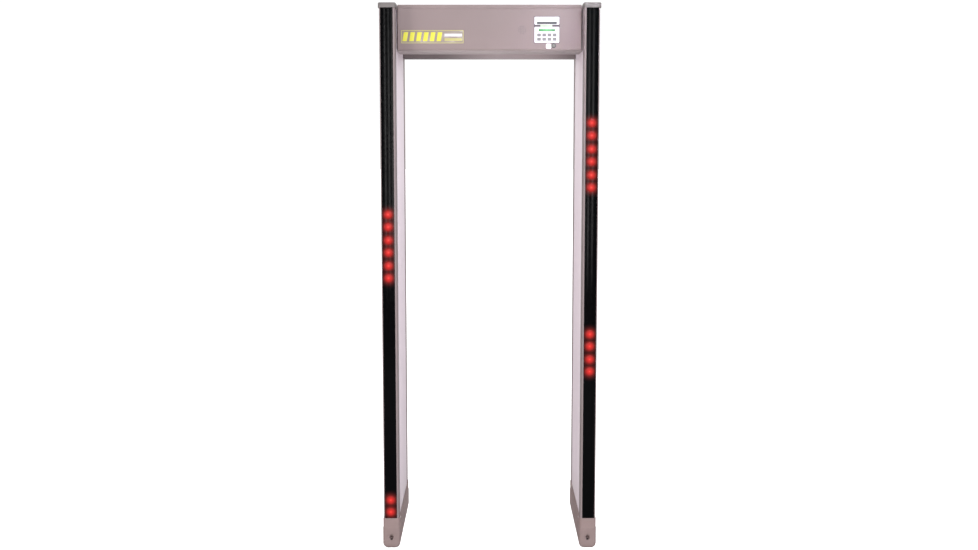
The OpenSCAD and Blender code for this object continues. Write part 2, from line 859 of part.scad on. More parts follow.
terminal_block();
switch_frame();
rocker();
cable_gland();
crosspiece();
cover();
hinge_cover();
control_base();
display_plate();
display_window();
keypad_plate();
bargraph();
light_bar();
tile();
badge();
sounder();
main_board();
lock_body();
lock_plug();
lock_cam();
key(0);  // key_1
key(1);  // key_2
key(2);  // key_3
key(3);  // key_4
key(4);  // key_5
key(5);  // key_6
key(6);  // key_7
key(7);  // key_8
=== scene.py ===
"""Looks of a walk-through metal detector gate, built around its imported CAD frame."""

import math

import bmesh
import bpy
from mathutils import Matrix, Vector


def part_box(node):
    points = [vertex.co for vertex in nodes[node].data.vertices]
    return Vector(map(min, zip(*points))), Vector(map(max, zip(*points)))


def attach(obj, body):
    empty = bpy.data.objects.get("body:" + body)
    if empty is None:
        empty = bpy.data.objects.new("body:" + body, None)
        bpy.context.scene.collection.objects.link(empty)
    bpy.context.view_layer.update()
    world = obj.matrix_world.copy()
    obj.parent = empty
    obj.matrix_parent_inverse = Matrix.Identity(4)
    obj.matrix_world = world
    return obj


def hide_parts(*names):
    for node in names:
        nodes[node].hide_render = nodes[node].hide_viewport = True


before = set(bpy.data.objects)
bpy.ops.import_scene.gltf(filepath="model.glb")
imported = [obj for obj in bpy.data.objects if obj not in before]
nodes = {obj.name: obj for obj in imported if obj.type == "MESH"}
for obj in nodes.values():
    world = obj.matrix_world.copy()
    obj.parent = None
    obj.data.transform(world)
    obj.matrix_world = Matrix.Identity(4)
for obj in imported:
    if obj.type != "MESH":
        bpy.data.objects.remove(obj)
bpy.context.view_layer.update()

MM = 0.001
WELD = 0.002 * MM
SHARP_DEGREES = 34
LIP_IN, LIP_OUT = 8 * MM, 4 * MM
WHITE = (1, 1, 1, 1)

# ---- places from the frame
panel_low, panel_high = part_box("channel_front_right")
cover_low, cover_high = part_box("cover")
chassis_low, chassis_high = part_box("chassis")
in_x = panel_low.x
out_x = panel_high.x
front_y = panel_low.y
sheet = 2 * MM
window_low, window_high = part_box("display_window")
bar_low, bar_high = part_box("bargraph")


# ---- shapes
PLACE = {
    "x": lambda a, b, c: Vector((c, a, b)),
    "y": lambda a, b, c: Vector((a, c, b)),
    "z": lambda a, b, c: Vector((a, b, c)),
}


def rounded(corners, inset=0.0, steps=5):
    """Points of an anticlockwise outline through corners (a, b, radius), moved inwards by inset."""
    made = []
    for i, (a, b, radius) in enumerate(corners):
        here = Vector((a, b))
        came = (here - Vector(corners[i - 1][:2])).normalized()
        goes = (Vector(corners[(i + 1) % len(corners)][:2]) - here).normalized()
        left_came = Vector((-came.y, came.x))
        left_goes = Vector((-goes.y, goes.x))
        here = here + (left_came + left_goes) * inset / (1 + left_came.dot(left_goes))
        if radius == 0:
            made.append(tuple(here))
            continue
        convex = came.cross(goes) > 0
        radius = max(radius - inset, 0.02 * MM) if convex else radius + inset
        half = math.acos(max(-1.0, min(1.0, came.dot(goes)))) / 2
        start = here - came * radius * math.tan(half)
        side = left_came if convex else -left_came
        centre = start + side * radius
        first = math.atan2(-side.y, -side.x)
        sweep = 2 * half if convex else -2 * half
        for k in range(steps + 1):
            angle = first + sweep * k / steps
            made.append((centre.x + radius * math.cos(angle), centre.y + radius * math.sin(angle)))
    return made


def rectangle(low, high, radius):
    """Corners of a rectangle between two points, each rounded by radius."""
    return [(low[0], low[1], radius), (high[0], low[1], radius),
            (high[0], high[1], radius), (low[0], high[1], radius)]


def polygon(centre, radius, sides, corner=0.0):
    """Corners of a regular polygon that touches a circle of that radius from inside."""
    turns = [2 * math.pi * (k + 0.5) / sides for k in range(sides)]
    return [(centre[0] + radius * math.cos(t), centre[1] + radius * math.sin(t), corner) for t in turns]


def loft(bm, rings, look=0):
    """Skin over rings of as many points each, closed by a face at both ends."""
    rows = [[bm.verts.new(p) for p in ring] for ring in rings]
    faces = [bm.faces.new(rows[0]), bm.faces.new(list(reversed(rows[-1])))]
    for one, two in zip(rows, rows[1:]):
        for k in range(len(one)):
            j = (k + 1) % len(one)
            faces.append(bm.faces.new((one[j], one[k], two[k], two[j])))
    for face in faces:
        face.material_index = look


def slab(bm, corners, start, end, axis="z", edges=(0.0, 0.0), look=0, steps=3):
    """Solid of an outline between two depths, its two rims rounded by the edge radii."""
    place = PLACE[axis]
    way = 1 if end > start else -1
    rings = []
    for depth, radius, inward, order in ((start, edges[0], way, 1), (end, edges[1], -way, -1)):
        count = steps if radius else 0
        for k in range(count + 1)[::order]:
            angle = math.pi / 2 * (k / count if count else 1)
            inset = radius * (1 - math.sin(angle))
            level = depth + inward * radius * (1 - math.cos(angle))
            rings.append([place(a, b, level) for a, b in rounded(corners, inset)])
    loft(bm, rings, look)


def block(bm, low, high, edge=0.0, look=0):
    """Box between two corners with rounded edges."""
    low, high = Vector(low), Vector(high)
    slab(bm, rectangle(low.xy, high.xy, edge), low.z, high.z, edges=(edge, edge), look=look, steps=2)


def turned(bm, centre, axis, profile, look=0, steps=32):
    """Turned solid: profile is a list of (radius, depth), and centre is in the plane across the axis."""
    place = PLACE[axis]
    turns = [2 * math.pi * k / steps for k in range(steps)]
    rings = []
    for radius, depth in profile:
        r = max(radius, 0.01 * MM)
        rings.append([place(centre[0] + r * math.cos(t), centre[1] + r * math.sin(t), depth) for t in turns])
    loft(bm, rings, look)


def lathe(bm, centre, face, profile, look=0, steps=32):
    """Turned solid along Y from a profile in mm, with its depths measured from face."""
    turned(bm, centre, "y", [(r * MM, face + d * MM) for r, d in profile], look, steps)


def thread(turns, crest, root, start):
    """Profile in mm of a thread of 1.1 mm pitch."""
    return [p for k in range(turns) for p in ((crest, start + 1.1 * k), (root, start + 0.55 + 1.1 * k))]


def mm(*values):
    """A step in millimetres."""
    return Vector(values) * MM


def plinth(bm, centre, size, start, end, edge=0.0, look=0):
    """Box between two depths along Y, of a width and height in mm about a centre."""
    (a, b), w, h = centre, size[0] / 2 * MM, size[1] / 2 * MM
    block(bm, (a - w, min(start, end), b - h), (a + w, max(start, end), b + h), edge, look)


def front_slab(bm, low, high, radius, start, end, edges=(0.0, 0.0), look=0, grow=0.0):
    """Solid between two depths along Y, with the outline of a box seen from the front."""
    outline = rectangle((low.x - grow, low.z - grow), (high.x + grow, high.z + grow), radius)
    slab(bm, outline, start, end, "y", edges, look)


def crowned(bm, low, high, radius, steps):
    """Skin over a front outline's levels along Y, each (inset in mm, depth)."""
    corners = rectangle((low.x, low.z), (high.x, high.z), radius)
    loft(bm, [[Vector((a, y, b)) for a, b in rounded(corners, inset * MM)] for inset, y in steps])


def middle_of(low, high, axes="xz"):
    """Middle of a box along two of its axes."""
    return tuple((getattr(low, a) + getattr(high, a)) / 2 for a in axes)


def mesh_of(bm, name):
    """The mesh of a shape, which is used up."""
    mesh = bpy.data.meshes.new(name)
    bm.to_mesh(mesh)
    bm.free()
    return mesh


def in_scene(name, data):
    """A new object, in the scene."""
    thing = bpy.data.objects.new(name, data)
    bpy.context.scene.collection.objects.link(thing)
    return thing


def join(bm, part):
    """Adds a finished shape to another one, and uses it up."""
    mesh = mesh_of(part, "part")
    bm.from_mesh(mesh)
    bpy.data.meshes.remove(mesh)


def temporary(bm):
    """An object of a shape, which is used up, for a boolean to work on."""
    bmesh.ops.recalc_face_normals(bm, faces=bm.faces)
    return in_scene("temporary", mesh_of(bm, "temporary"))


def carve(bm, cutter):
    """The first shape with the second one taken out of it; both are used up."""
    body, tool = temporary(bm), temporary(cutter)
    change = body.modifiers.new("carve", "BOOLEAN")
    change.object = tool
    change.operation = "DIFFERENCE"
    change.solver = "EXACT"
    change.use_self = True
    bpy.context.view_layer.update()
    made = bmesh.new()
    made.from_object(body, bpy.context.evaluated_depsgraph_get())
    for thing in (body, tool):
        mesh = thing.data
        bpy.data.objects.remove(thing)
        bpy.data.meshes.remove(mesh)
    return made


def pan_head(bm, centre, axis, seat, top, radius, look=0, slot=False):
    """Domed screw head between the seat and top depths, with a cross or a single slot sunk in it."""
    rise = top - seat
    profile = [(radius, seat), (radius, seat + 0.35 * rise), (0.86 * radius, seat + 0.75 * rise),
               (0.6 * radius, seat + 0.93 * rise), (0, top)]
    head = bmesh.new()
    turned(head, centre, axis, profile, look, 20)
    groove = bmesh.new()
    width, reach = 0.13 * radius, 0.62 * radius
    arms = ((width, reach),) if slot else ((width, reach), (reach, width))
    for a, b in arms:
        slab(groove, rectangle((centre[0] - a, centre[1] - b), (centre[0] + a, centre[1] + b), 0),
             top - 0.5 * rise, top + rise, axis, look=look)
    join(bm, carve(head, groove))


def solids(node):
    """Boxes, as (low, high), of a CAD node's separate solids, in order of x, y and z."""
    bm = bmesh.new()
    bm.from_mesh(nodes[node].data)
    bmesh.ops.remove_doubles(bm, verts=bm.verts, dist=0.001 * MM)
    left = set(bm.verts)
    found = []
    for first in list(bm.verts):
        if first not in left:
            continue
        left.discard(first)
        todo, points = [first], []
        while todo:
            vert = todo.pop()
            points.append(vert.co.copy())
            for edge in vert.link_edges:
                other = edge.other_vert(vert)
                if other in left:
                    left.discard(other)
                    todo.append(other)
        found.append((Vector(map(min, zip(*points))), Vector(map(max, zip(*points)))))
    bm.free()
    return sorted(found, key=lambda b: (round(b[0].x, 4), round(b[0].y, 4), round(b[0].z, 4)))


def piece(name, bm, looks, body="frame", slot=None, stands_for=(), on_left=False):
    """Turns a shape into a piece that rides on a body; a left-hand piece is its mirror image."""
    if on_left:
        bmesh.ops.scale(bm, vec=(-1, 1, 1), verts=bm.verts)
    bmesh.ops.remove_doubles(bm, verts=bm.verts, dist=WELD)
    bmesh.ops.dissolve_degenerate(bm, edges=bm.edges, dist=WELD)
    bmesh.ops.recalc_face_normals(bm, faces=bm.faces)
    mesh = mesh_of(bm, name)
    for look in looks:
        mesh.materials.append(look)
    mesh.shade_smooth()
    mesh.set_sharp_from_angle(angle=math.radians(SHARP_DEGREES))
    thing = in_scene(name, mesh)
    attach(thing, body)
    if stands_for:
        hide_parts(*stands_for)
    return thing


# ---- materials
class Tree:
    """Short calls that build the nodes of a material or a world round its first shader."""

    def __init__(self, name, kind="materials"):
        self.owner = getattr(bpy.data, kind).new(name)
        self.owner.use_nodes = True
        self.tree = self.owner.node_tree
        self.shader = next(n for n in self.tree.nodes if n.type in ("BSDF_PRINCIPLED", "BACKGROUND"))

    def add(self, kind, settings=None, **inputs):
        node = self.tree.nodes.new("ShaderNode" + kind)
        for key, value in (settings or {}).items():
            setattr(node, key, value)
        for key, value in inputs.items():
            self.feed(node.inputs[key.replace("_", " ")], value)
        return node

    def feed(self, socket, value):
        if isinstance(value, bpy.types.NodeSocket):
            self.tree.links.new(value, socket)
        else:
            socket.default_value = value

    def surface(self, **inputs):
        for key, value in inputs.items():
            self.feed(self.shader.inputs[key.replace("_", " ")], value)

    def ramp(self, value, stops):
        node = self.add("ValToRGB", Fac=value)
        band = node.color_ramp.elements
        while len(band) < len(stops):
            band.new(0.5)
        for element, (place, colour) in zip(band, stops):
            element.position = place
            element.color = (*colour, 1)
        return node.outputs["Color"]

    def spread(self, value, low, high, start=0.3, end=0.7, kind="LINEAR"):
        """Maps a value from start..end to low..high."""
        node = self.add("MapRange", {"interpolation_type": kind}, Value=value, From_Min=start, From_Max=end,
                        To_Min=low, To_Max=high)
        return node.outputs["Result"]

    def math(self, operation, one, two=0.5):
        node = self.add("Math", {"operation": operation})
        self.feed(node.inputs[0], one)
        self.feed(node.inputs[1], two)
        return node.outputs[0]

    def blend(self, share, one, two):
        """The colour one, or the plain colour two where share is 1."""
        node = self.add("Mix", {"data_type": "RGBA"}, Factor=share)
        self.feed(node.inputs[6], one)
        self.feed(node.inputs[7], (*two, 1))
        return node.outputs[2]

    def by_camera(self, unseen):
        """The camera sees the first shader, and everything else the unseen one."""
        mix = self.add("MixShader", Fac=self.add("LightPath").outputs["Is Camera Ray"])
        self.feed(mix.inputs[1], unseen.outputs[0])
        self.feed(mix.inputs[2], self.shader.outputs[0])
        out = next(n for n in self.tree.nodes if n.type.startswith("OUTPUT"))
        self.feed(out.inputs["Surface"], mix.outputs[0])

    def place(self, axis):
        return self.add("SeparateXYZ", Vector=self.add("TexCoord").outputs["Object"]).outputs[axis]

    def relief(self, scale, height, detail=2.0, stretch=(1, 1, 1), under=None):
        """Noise that stands up to height in mm, over another relief."""
        bump = self.add("Bump", Height=self.noise(scale, detail, stretch), Distance=height * MM, Strength=1.0)
        if under:
            self.feed(bump.inputs["Normal"], under)
        return bump.outputs["Normal"]

    def noise(self, scale, detail=3.0, stretch=(1, 1, 1)):
        where = self.add("TexCoord").outputs["Object"]
        if stretch != (1, 1, 1):
            where = self.add("Mapping", Vector=where, Scale=stretch).outputs["Vector"]
        return self.add("TexNoise", Vector=where, Scale=scale, Detail=detail).outputs["Fac"]


def scaled(colour, by):
    """A colour made lighter or darker."""
    return tuple(min(1.0, c * by) for c in colour)


def finish(name, colour, rough, vary=0.05, patch=4.0, grain=(900.0, 0.02), wave=None, brushed=None,
           metal=0.0, coat=0.0, worn=None, shine=0.5, dust=None, middle=None):
    """A surface with colour that drifts in patches, uneven gloss, and a fine relief.

    grain is (cells per metre, height in mm); wave is the same for a broad unevenness; brushed is the
    stretch of brush lines; worn is (colour, width in mm) of rubbed edges; dust is
    (colour, top, share) of a darker, patchy tint that is partly dirt and partly painted shade, and fades
    out from the floor to the height top; middle is (colour, centre, reach) of a painted highlight, a paler
    middle that stands in for light falling there, which fades out along X.
    """
    t = Tree(name)
    tint = t.ramp(t.noise(patch, 4.0), [(0.3, scaled(colour, 1 - vary)), (0.7, scaled(colour, 1 + vary))])
    # Darker, patchy tint towards the floor: dirt on the boots, and partly dirt, partly painted shade on the
    # laminate.
    if dust:
        fade = t.spread(t.place("Z"), dust[2], 0.0, 0.2 * dust[1], dust[1])
        tint = t.blend(t.math("MULTIPLY", fade, t.spread(t.noise(35.0, 6.0), 0.5, 1.0)), tint, dust[0])
    # Painted highlight: a paler band about a centre along X that stands in for light falling there.
    if middle:
        away = t.math("ABSOLUTE", t.math("SUBTRACT", t.place("X"), middle[1]))
        fade = t.spread(away, 1.0, 0.0, 0.15 * middle[2], middle[2], "SMOOTHSTEP")
        tint = t.blend(fade, tint, middle[0])
    if worn:
        meet = t.add("VectorMath", {"operation": "DOT_PRODUCT"})
        t.feed(meet.inputs[0], t.add("Bevel", {"samples": 4}, Radius=worn[1] * MM).outputs["Normal"])
        t.feed(meet.inputs[1], t.add("NewGeometry").outputs["Normal"])
        edge = t.spread(meet.outputs["Value"], 0.55, 0.0, 0.82, 0.99)
        tint = t.blend(t.math("MULTIPLY", edge, t.spread(t.noise(120.0, 5.0), 0.2, 1.0)), tint, worn[0])
    t.surface(Base_Color=tint, Roughness=t.spread(t.noise(patch * 9, 5.0), rough - 0.05, rough + 0.06))
    t.surface(Metallic=metal, Coat_Weight=coat, Specular_IOR_Level=shine)
    wide = t.relief(*wave) if wave else None
    t.surface(Normal=t.relief(*grain, 2.0, brushed or (1, 1, 1), wide))
    return t.owner


def glowing(name, stops, attribute, strength, rough=0.2, base=(0.02, 0.004, 0.004), shine=0.5):
    """A lit surface whose colour follows a value stored on the mesh."""
    t = Tree(name)
    share = t.add("Attribute", {"attribute_name": attribute}).outputs["Fac"]
    t.surface(Emission_Color=t.ramp(share, stops), Emission_Strength=strength)
    t.surface(Base_Color=t.ramp(t.noise(60.0), [(0.3, scaled(base, 0.8)), (0.7, scaled(base, 1.2))]))
    t.surface(Roughness=t.spread(t.noise(90.0, 4.0), rough - 0.05, rough + 0.08), Specular_IOR_Level=shine)
    t.surface(Normal=t.relief(700.0, 0.01))
    return t.owner


def grown_wood(name, pale, dark):
    """Timber with its grain along Z."""
    t = Tree(name)
    where = t.add("Mapping", Vector=t.add("TexCoord").outputs["Object"], Scale=(1, 1, 0.05)).outputs["Vector"]
    rings = t.add("TexWave", Vector=where, Scale=25.0, Distortion=6.0, Detail=3.0).outputs["Fac"]
    t.surface(Base_Color=t.ramp(rings, [(0.2, pale), (0.8, dark)]), Roughness=t.spread(rings, 0.6, 0.75))
    t.surface(Normal=t.relief(500.0, 0.1, 2.0, (1, 1, 0.05)))
    return t.owner


aluminium = finish("anodised_aluminium", (0.236, 0.190, 0.194), 0.5, 0.06, 3, (1400, 0.012),
                   brushed=(1, 1, 0.02), metal=0.04, worn=((0.31, 0.265, 0.265), 1.2), shine=0.08)
# The darker tint near the floor is partly dirt and partly painted shade.
laminate = finish("pebbled_laminate", (0.83, 0.735, 0.79), 0.48, 0.022, 2.2, (650, 0.05),
                  wave=(14, 0.25), dust=((0.60, 0.53, 0.52), 0.30, 0.5), shine=0.2)
# The strip's red glow round each lamp is painted light: emission that stands in for the lamps' light spilling
# into the acrylic.
smoked = glowing("smoked_acrylic", [(0, (0, 0, 0)), (0.35, (0.018, 0.003, 0.003)),
                                    (0.7, (0.075, 0.009, 0.008)), (1, (0.22, 0.018, 0.015))],
                 "spill", 1, 0.11, (0.0009, 0.0009, 0.0012), 0.055)
lamp = glowing("red_diffuser", [(0, (1, 0.11, 0.09)), (0.12, (0.95, 0.05, 0.04)), (0.4, (0.72, 0.03, 0.026)),
                                (0.8, (0.42, 0.022, 0.019)), (1, (0.24, 0.016, 0.013))], "glow", 1, 0.2,
               (0.02, 0.002, 0.002), 0.08)
cap_look = finish("cap_plastic", (0.140, 0.121, 0.119), 0.5, 0.05, 9, (800, 0.03),
                  worn=((0.22, 0.20, 0.195), 1.5))
boot_look = finish("boot_plastic", (0.228, 0.160, 0.153), 0.62, 0.07, 11, (520, 0.07), wave=(60, 0.2),
                   worn=((0.33, 0.28, 0.27), 1.6), dust=((0.27, 0.20, 0.195), 0.105, 0.8))
cover_look = finish("cover_paint", (0.233, 0.177, 0.177), 0.46, 0.035, 3.5, (1100, 0.02), wave=(18, 0.3),
                    worn=((0.38, 0.32, 0.32), 1), shine=0.35)
chassis_look = finish("chassis_paint", (0.30, 0.25, 0.25), 0.5, 0.04, 3, (1100, 0.02), wave=(16, 0.25),
                      worn=((0.46, 0.42, 0.42), 1))
# Its paler middle along X is a painted highlight that stands in for light falling on the crosspiece.
crosspiece_look_painted_highlight = finish("crosspiece_paint", (0.135, 0.108, 0.110), 0.52, 0.04, 3, (1100, 0.02),
                         wave=(16, 0.25), worn=((0.40, 0.37, 0.37), 1),
                         middle=((0.36, 0.30, 0.305), 0.1, 0.36))
steel = finish("bare_steel", (0.58, 0.57, 0.56), 0.3, 0.08, 60, (2500, 0.006), metal=1)
hinge_look = finish("hinge_steel", (0.26, 0.235, 0.23), 0.42, 0.1, 40, (1500, 0.01),
                    brushed=(0.03, 1, 1), metal=0.6)
rubber = finish("pad_rubber", (0.03, 0.03, 0.03), 0.8, 0.2, 30, (900, 0.06))
black = finish("black_plastic", (0.025, 0.025, 0.027), 0.5, 0.15, 40, (900, 0.03))
white = finish("white_plate", (0.76, 0.73, 0.75), 0.4, 0.015, 20, (900, 0.008), shine=0.4)
dark_base = finish("dark_base", (0.085, 0.06, 0.075), 0.5, 0.1, 30, (900, 0.02))
key_look = finish("key_grey", (0.19, 0.183, 0.19), 0.5, 0.08, 150, (1500, 0.02))
glass = finish("display_glass", (0.045, 0.052, 0.057), 0.16, 0.2, 60, (300, 0.003), shine=0.25)
circuit = finish("circuit_board", (0.012, 0.10, 0.05), 0.38, 0.15, 90, (1400, 0.03), coat=0.3)
copper = finish("coil_copper", (0.50, 0.20, 0.09), 0.4, 0.12, 50, (1800, 0.12), brushed=(1, 0.02, 0.02),
                metal=0.8)
timber = grown_wood("core_timber", (0.58, 0.42, 0.24), (0.42, 0.27, 0.13))
case_look = finish("supply_case", (0.42, 0.43, 0.45), 0.42, 0.06, 20, (1500, 0.01), brushed=(0.02, 1, 1),
                   metal=0.7)
battery_look = finish("battery_case", (0.022, 0.022, 0.027), 0.55, 0.15, 18, (700, 0.05))
terminal_look = finish("terminal_green", (0.02, 0.13, 0.05), 0.4, 0.08, 60, (1200, 0.02))
red_plastic = finish("rocker_red", (0.45, 0.012, 0.01), 0.28, 0.08, 80, (900, 0.01), coat=0.2)
film = finish("badge_film", (0.25, 0.20, 0.17), 0.35, 0.05, 20, (900, 0.008), coat=0.3)
yellow = finish("badge_yellow", (0.60, 0.56, 0.04), 0.38, 0.04, 30, (900, 0.008))
pale_yellow = finish("badge_line", (0.44, 0.39, 0.15), 0.4, 0.05, 30, (900, 0.008))
white_ink = finish("badge_white", (0.62, 0.58, 0.62), 0.4, 0.04, 30, (900, 0.008))
chrome = finish("lock_chrome", (0.045, 0.045, 0.047), 0.34, 0.08, 90, (1500, 0.004), metal=1)
brass = finish("lock_plug", (0.17, 0.166, 0.155), 0.42, 0.08, 120, (2000, 0.008), metal=1)
bar_look = glowing("bar_green", [(0, (0.02, 0.10, 0.03)), (1, (0.12, 0.50, 0.16))], "glow", 0.75,
                   base=(0.03, 0.16, 0.05))
pale_light = glowing("light_pale", [(0, (0.40, 0.50, 0.36)), (1, (0.75, 0.86, 0.66))], "glow", 0.25,
                     rough=0.4, base=(0.30, 0.36, 0.27))


# ---- side panels
def panel_end(bm, corner, bottom, top):
    """Cutter that takes a side panel's end with a little slack."""
    slack = 0.2 * MM
    outline = rectangle((in_x - slack, front_y - slack), (out_x + slack, -front_y + slack), corner)
    slab(bm, outline, bottom, top)


def cap_shape():
    """End cap, notched round the header, over the panel's end."""
    low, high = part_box("cap_right")
    back, front = chassis_high.y + 2 * MM, cover_low.y - 4 * MM
    small = 2.2 * MM
    corners = rectangle(low.xy, high.xy, 9 * MM)
    corners += [(x, y, small) for x, y in ((low.x, back), (in_x, back), (in_x, front), (low.x, front))]
    bm = bmesh.new()
    slab(bm, corners, low.z, high.z, edges=(0.6 * MM, 5 * MM), steps=4)
    pocket = bmesh.new()
    panel_end(pocket, 4 * MM, low.z - MM, panel_high.z)
    return carve(bm, pocket)


def anchor_tool(bm, end):
    """Sloping cutter for one anchor: wide mouth, flat seat, narrower bore; end is -1 at the front."""
    low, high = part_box("boot_right")
    mouth = Vector(((low.x + high.x) / 2, low.y if end < 0 else high.y, 46 * MM))
    down = Vector((0, -end, -1)).normalized()
    across = Vector((1, 0, 0))
    over = down.cross(across)
    rings = []
    for radius, depth in ((8.5, -30), (8.5, 18), (5, 18), (5, 78)):
        turns = [2 * math.pi * k / 40 for k in range(40)]
        centre = mouth + down * depth * MM
        rings.append([centre + (across * math.cos(t) + over * math.sin(t)) * radius * MM for t in turns])
    loft(bm, rings)


def boot_shape():
    """Shoe with a rounded foot and a collar; sockets for the panel, anchors, pads and screws."""
    low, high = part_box("boot_right")
    foot_w, foot_h, toe = 13 * MM, 20 * MM, 3 * MM
    collar = 1.3
    levels = []
    for k in range(7):
        turn = math.pi / 2 * k / 6
        left = 1 - math.sin(turn)
        levels.append((low.z + foot_h * (1 - math.cos(turn)), foot_w * left, toe * left))
    step_z = 88 * MM
    for z, inset in ((step_z - 4 * MM, 0), (step_z - 2 * MM, 0.35 * collar), (step_z, collar),
                     (high.z - 1.6 * MM, collar), (high.z - 0.8 * MM, collar + 0.35), (high.z, collar + 1.2)):
        levels.append((z, inset * MM, inset * MM))
    rings = []
    for z, inset_x, inset_y in levels:
        outline = rectangle((low.x + inset_x, low.y + inset_y), (high.x - inset_x, high.y - inset_y), 11 * MM)
        rings.append([Vector((a, b, z)) for a, b in rounded(outline, 0, 6)])
    bm = bmesh.new()
    loft(bm, rings)
    tool = bmesh.new()
    panel_end(tool, 4.6 * MM, panel_low.z, high.z + MM)
    for end in (-1, 1):
        anchor_tool(tool, end)
        lathe(tool, ((low.x + high.x) / 2, 50 * MM), low.y if end < 0 else high.y,
              [(10.5, end), (10.5, -0.8 * end), (9.5, -1.4 * end)])
    for pad_low, pad_high in solids("pads_right"):
        block(tool, (pad_low.x, pad_low.y, low.z - MM), pad_high)
    for head_low, head_high in solids("boot_screws_right"):
        way, outer = (1, head_low.x) if head_low.x < in_x else (-1, head_high.x)
        turned(tool, middle_of(head_low, head_high, "yz"), "x",
               [(5 * MM, outer + way * depth * MM) for depth in (-2, 2.4)], steps=24)
    return carve(bm, tool)


def channel_shape():
    """Extrusion with lips round the light strip, a cavity, a web and two legs."""
    width, depth = (out_x - in_x) / MM, (panel_high.y - panel_low.y) / MM
    lip_in, lip_out = LIP_IN / MM, width - LIP_OUT / MM
    lip_y, wall, cavity_y, web_y, ease = 4, 3, 24, 27, 0.7
    groove, groove_d = (60, 60.8, 61.6), 0.5
    corners = [
        (0, 0, 4), (lip_in, 0, ease), (lip_in, lip_y, 0), (wall, lip_y, 0), (wall, cavity_y, ease),
        (width - wall, cavity_y, ease), (width - wall, lip_y, 0), (lip_out, lip_y, 0), (lip_out, 0.2, 0.3),
        (width, 0, 3.4), (width, groove[0], 0), (width - groove_d, groove[1], 0), (width, groove[2], 0),
        (width, depth, ease), (width - wall, depth, 0), (width - wall, web_y, ease), (wall, web_y, ease),
        (wall, depth, 0), (0, depth, ease), (0, groove[2], 0), (groove_d, groove[1], 0), (0, groove[0], 0),
    ]
    bm = bmesh.new()
    slab(bm, [(in_x + a * MM, front_y + b * MM, r * MM) for a, b, r in corners], panel_low.z, panel_high.z)
    return bm


def lens_shape(lights):
    """Light strip with a slightly crowned face, drilled for its lit lights."""
    left, right = in_x + LIP_IN + 0.2 * MM, out_x - LIP_OUT - 0.2 * MM
    middle, half = (left + right) / 2, (right - left) / 2
    sunk, crown, columns = 1.8 * MM, 1.6 * MM, 16
    face = []
    for k in range(columns + 1):
        share = 2 * k / columns - 1
        face.append((middle + half * share, front_y + sunk - crown * (1 - share * share)))
    flange_in, flange_out = in_x + 3.3 * MM, out_x - 3.3 * MM
    back = [(right, 4.1), (flange_out, 4.1), (flange_out, 6), (flange_in, 6), (flange_in, 4.1), (left, 4.1)]
    outline = face + [(x, front_y + y * MM) for x, y in back]
    rows = 330
    levels = [panel_low.z + (panel_high.z - panel_low.z) * k / rows for k in range(rows + 1)]
    bm = bmesh.new()
    loft(bm, [[Vector((x, y, z)) for x, y in outline] for z in levels])
    if not lights:
        return bm
    tool = bmesh.new()
    for x, z, radius in lights:
        turned(tool, (x, z), "y", [(radius, front_y - 5 * MM), (radius, front_y + 9 * MM)], steps=40)
    return carve(bm, tool)


def lamp_shape(lights, depth):
    """Diffusers with low prism rings, each on a cup that reaches back to the board."""
    bm = bmesh.new()
    for x, z, radius in lights:
        rim = front_y + 1.2 * MM
        rings = 14
        profile = []
        for k in range(rings + 1):
            share = k / rings
            ripple = 0.16 * MM if k % 2 and k < rings else 0
            profile.append((radius * 0.985 * share, rim - 2.4 * MM * math.sqrt(1 - share * share) - ripple))
        outer = radius * 0.985
        inner, back = outer - 2 * MM, front_y + depth
        profile += [(outer, back), (inner, back), (inner, rim + 4 * MM), (0, rim + 4 * MM)]
        turned(bm, (x, z), "y", profile, steps=40)
    return bm


def store(thing, name, value):
    """Stores value(point) on every point of a piece's mesh, for its material to read."""
    points = thing.data.vertices
    layer = thing.data.attributes.new(name, "FLOAT", "POINT")
    layer.data.foreach_set("value", [value(p.co) for p in points])


def nearest_light(lights, sign, reach):
    """How close a point is to the middle of a light: 1 at its rim and 0 at reach beyond it."""
    def value(point):
        gap = min((math.hypot(point.x - sign * x, point.z - z) - r for x, z, r in lights), default=reach)
        return max(0.0, min(1.0, 1 - gap / reach))
    return value


def from_middle(lights, sign):
    """Distance of a point from its light's middle as a share of the radius, and 1 on the cup behind."""
    def value(point):
        if point.y > front_y + 1.3 * MM:
            return 1.0
        return min([1.0] + [math.hypot(point.x - sign * x, point.z - z) / r for x, z, r in lights])
    return value


def screw_set(node):
    """Pan heads with a cross, on shanks, for the screws of one boot."""
    bm = bmesh.new()
    for low, high in solids(node):
        centre = middle_of(low, high, "yz")
        way, top, end = (1, low.x, high.x) if low.x < in_x else (-1, high.x, low.x)
        seat = top + way * 2.4 * MM
        pan_head(bm, centre, "x", seat, top, 4.5 * MM)
        turned(bm, centre, "x", [(2 * MM, seat), (2 * MM, end)], steps=16)
    return bm


def backwards(bm):
    """Turns a front part into the rear one."""
    bmesh.ops.scale(bm, vec=(1, -1, 1), verts=bm.verts)
    return bm


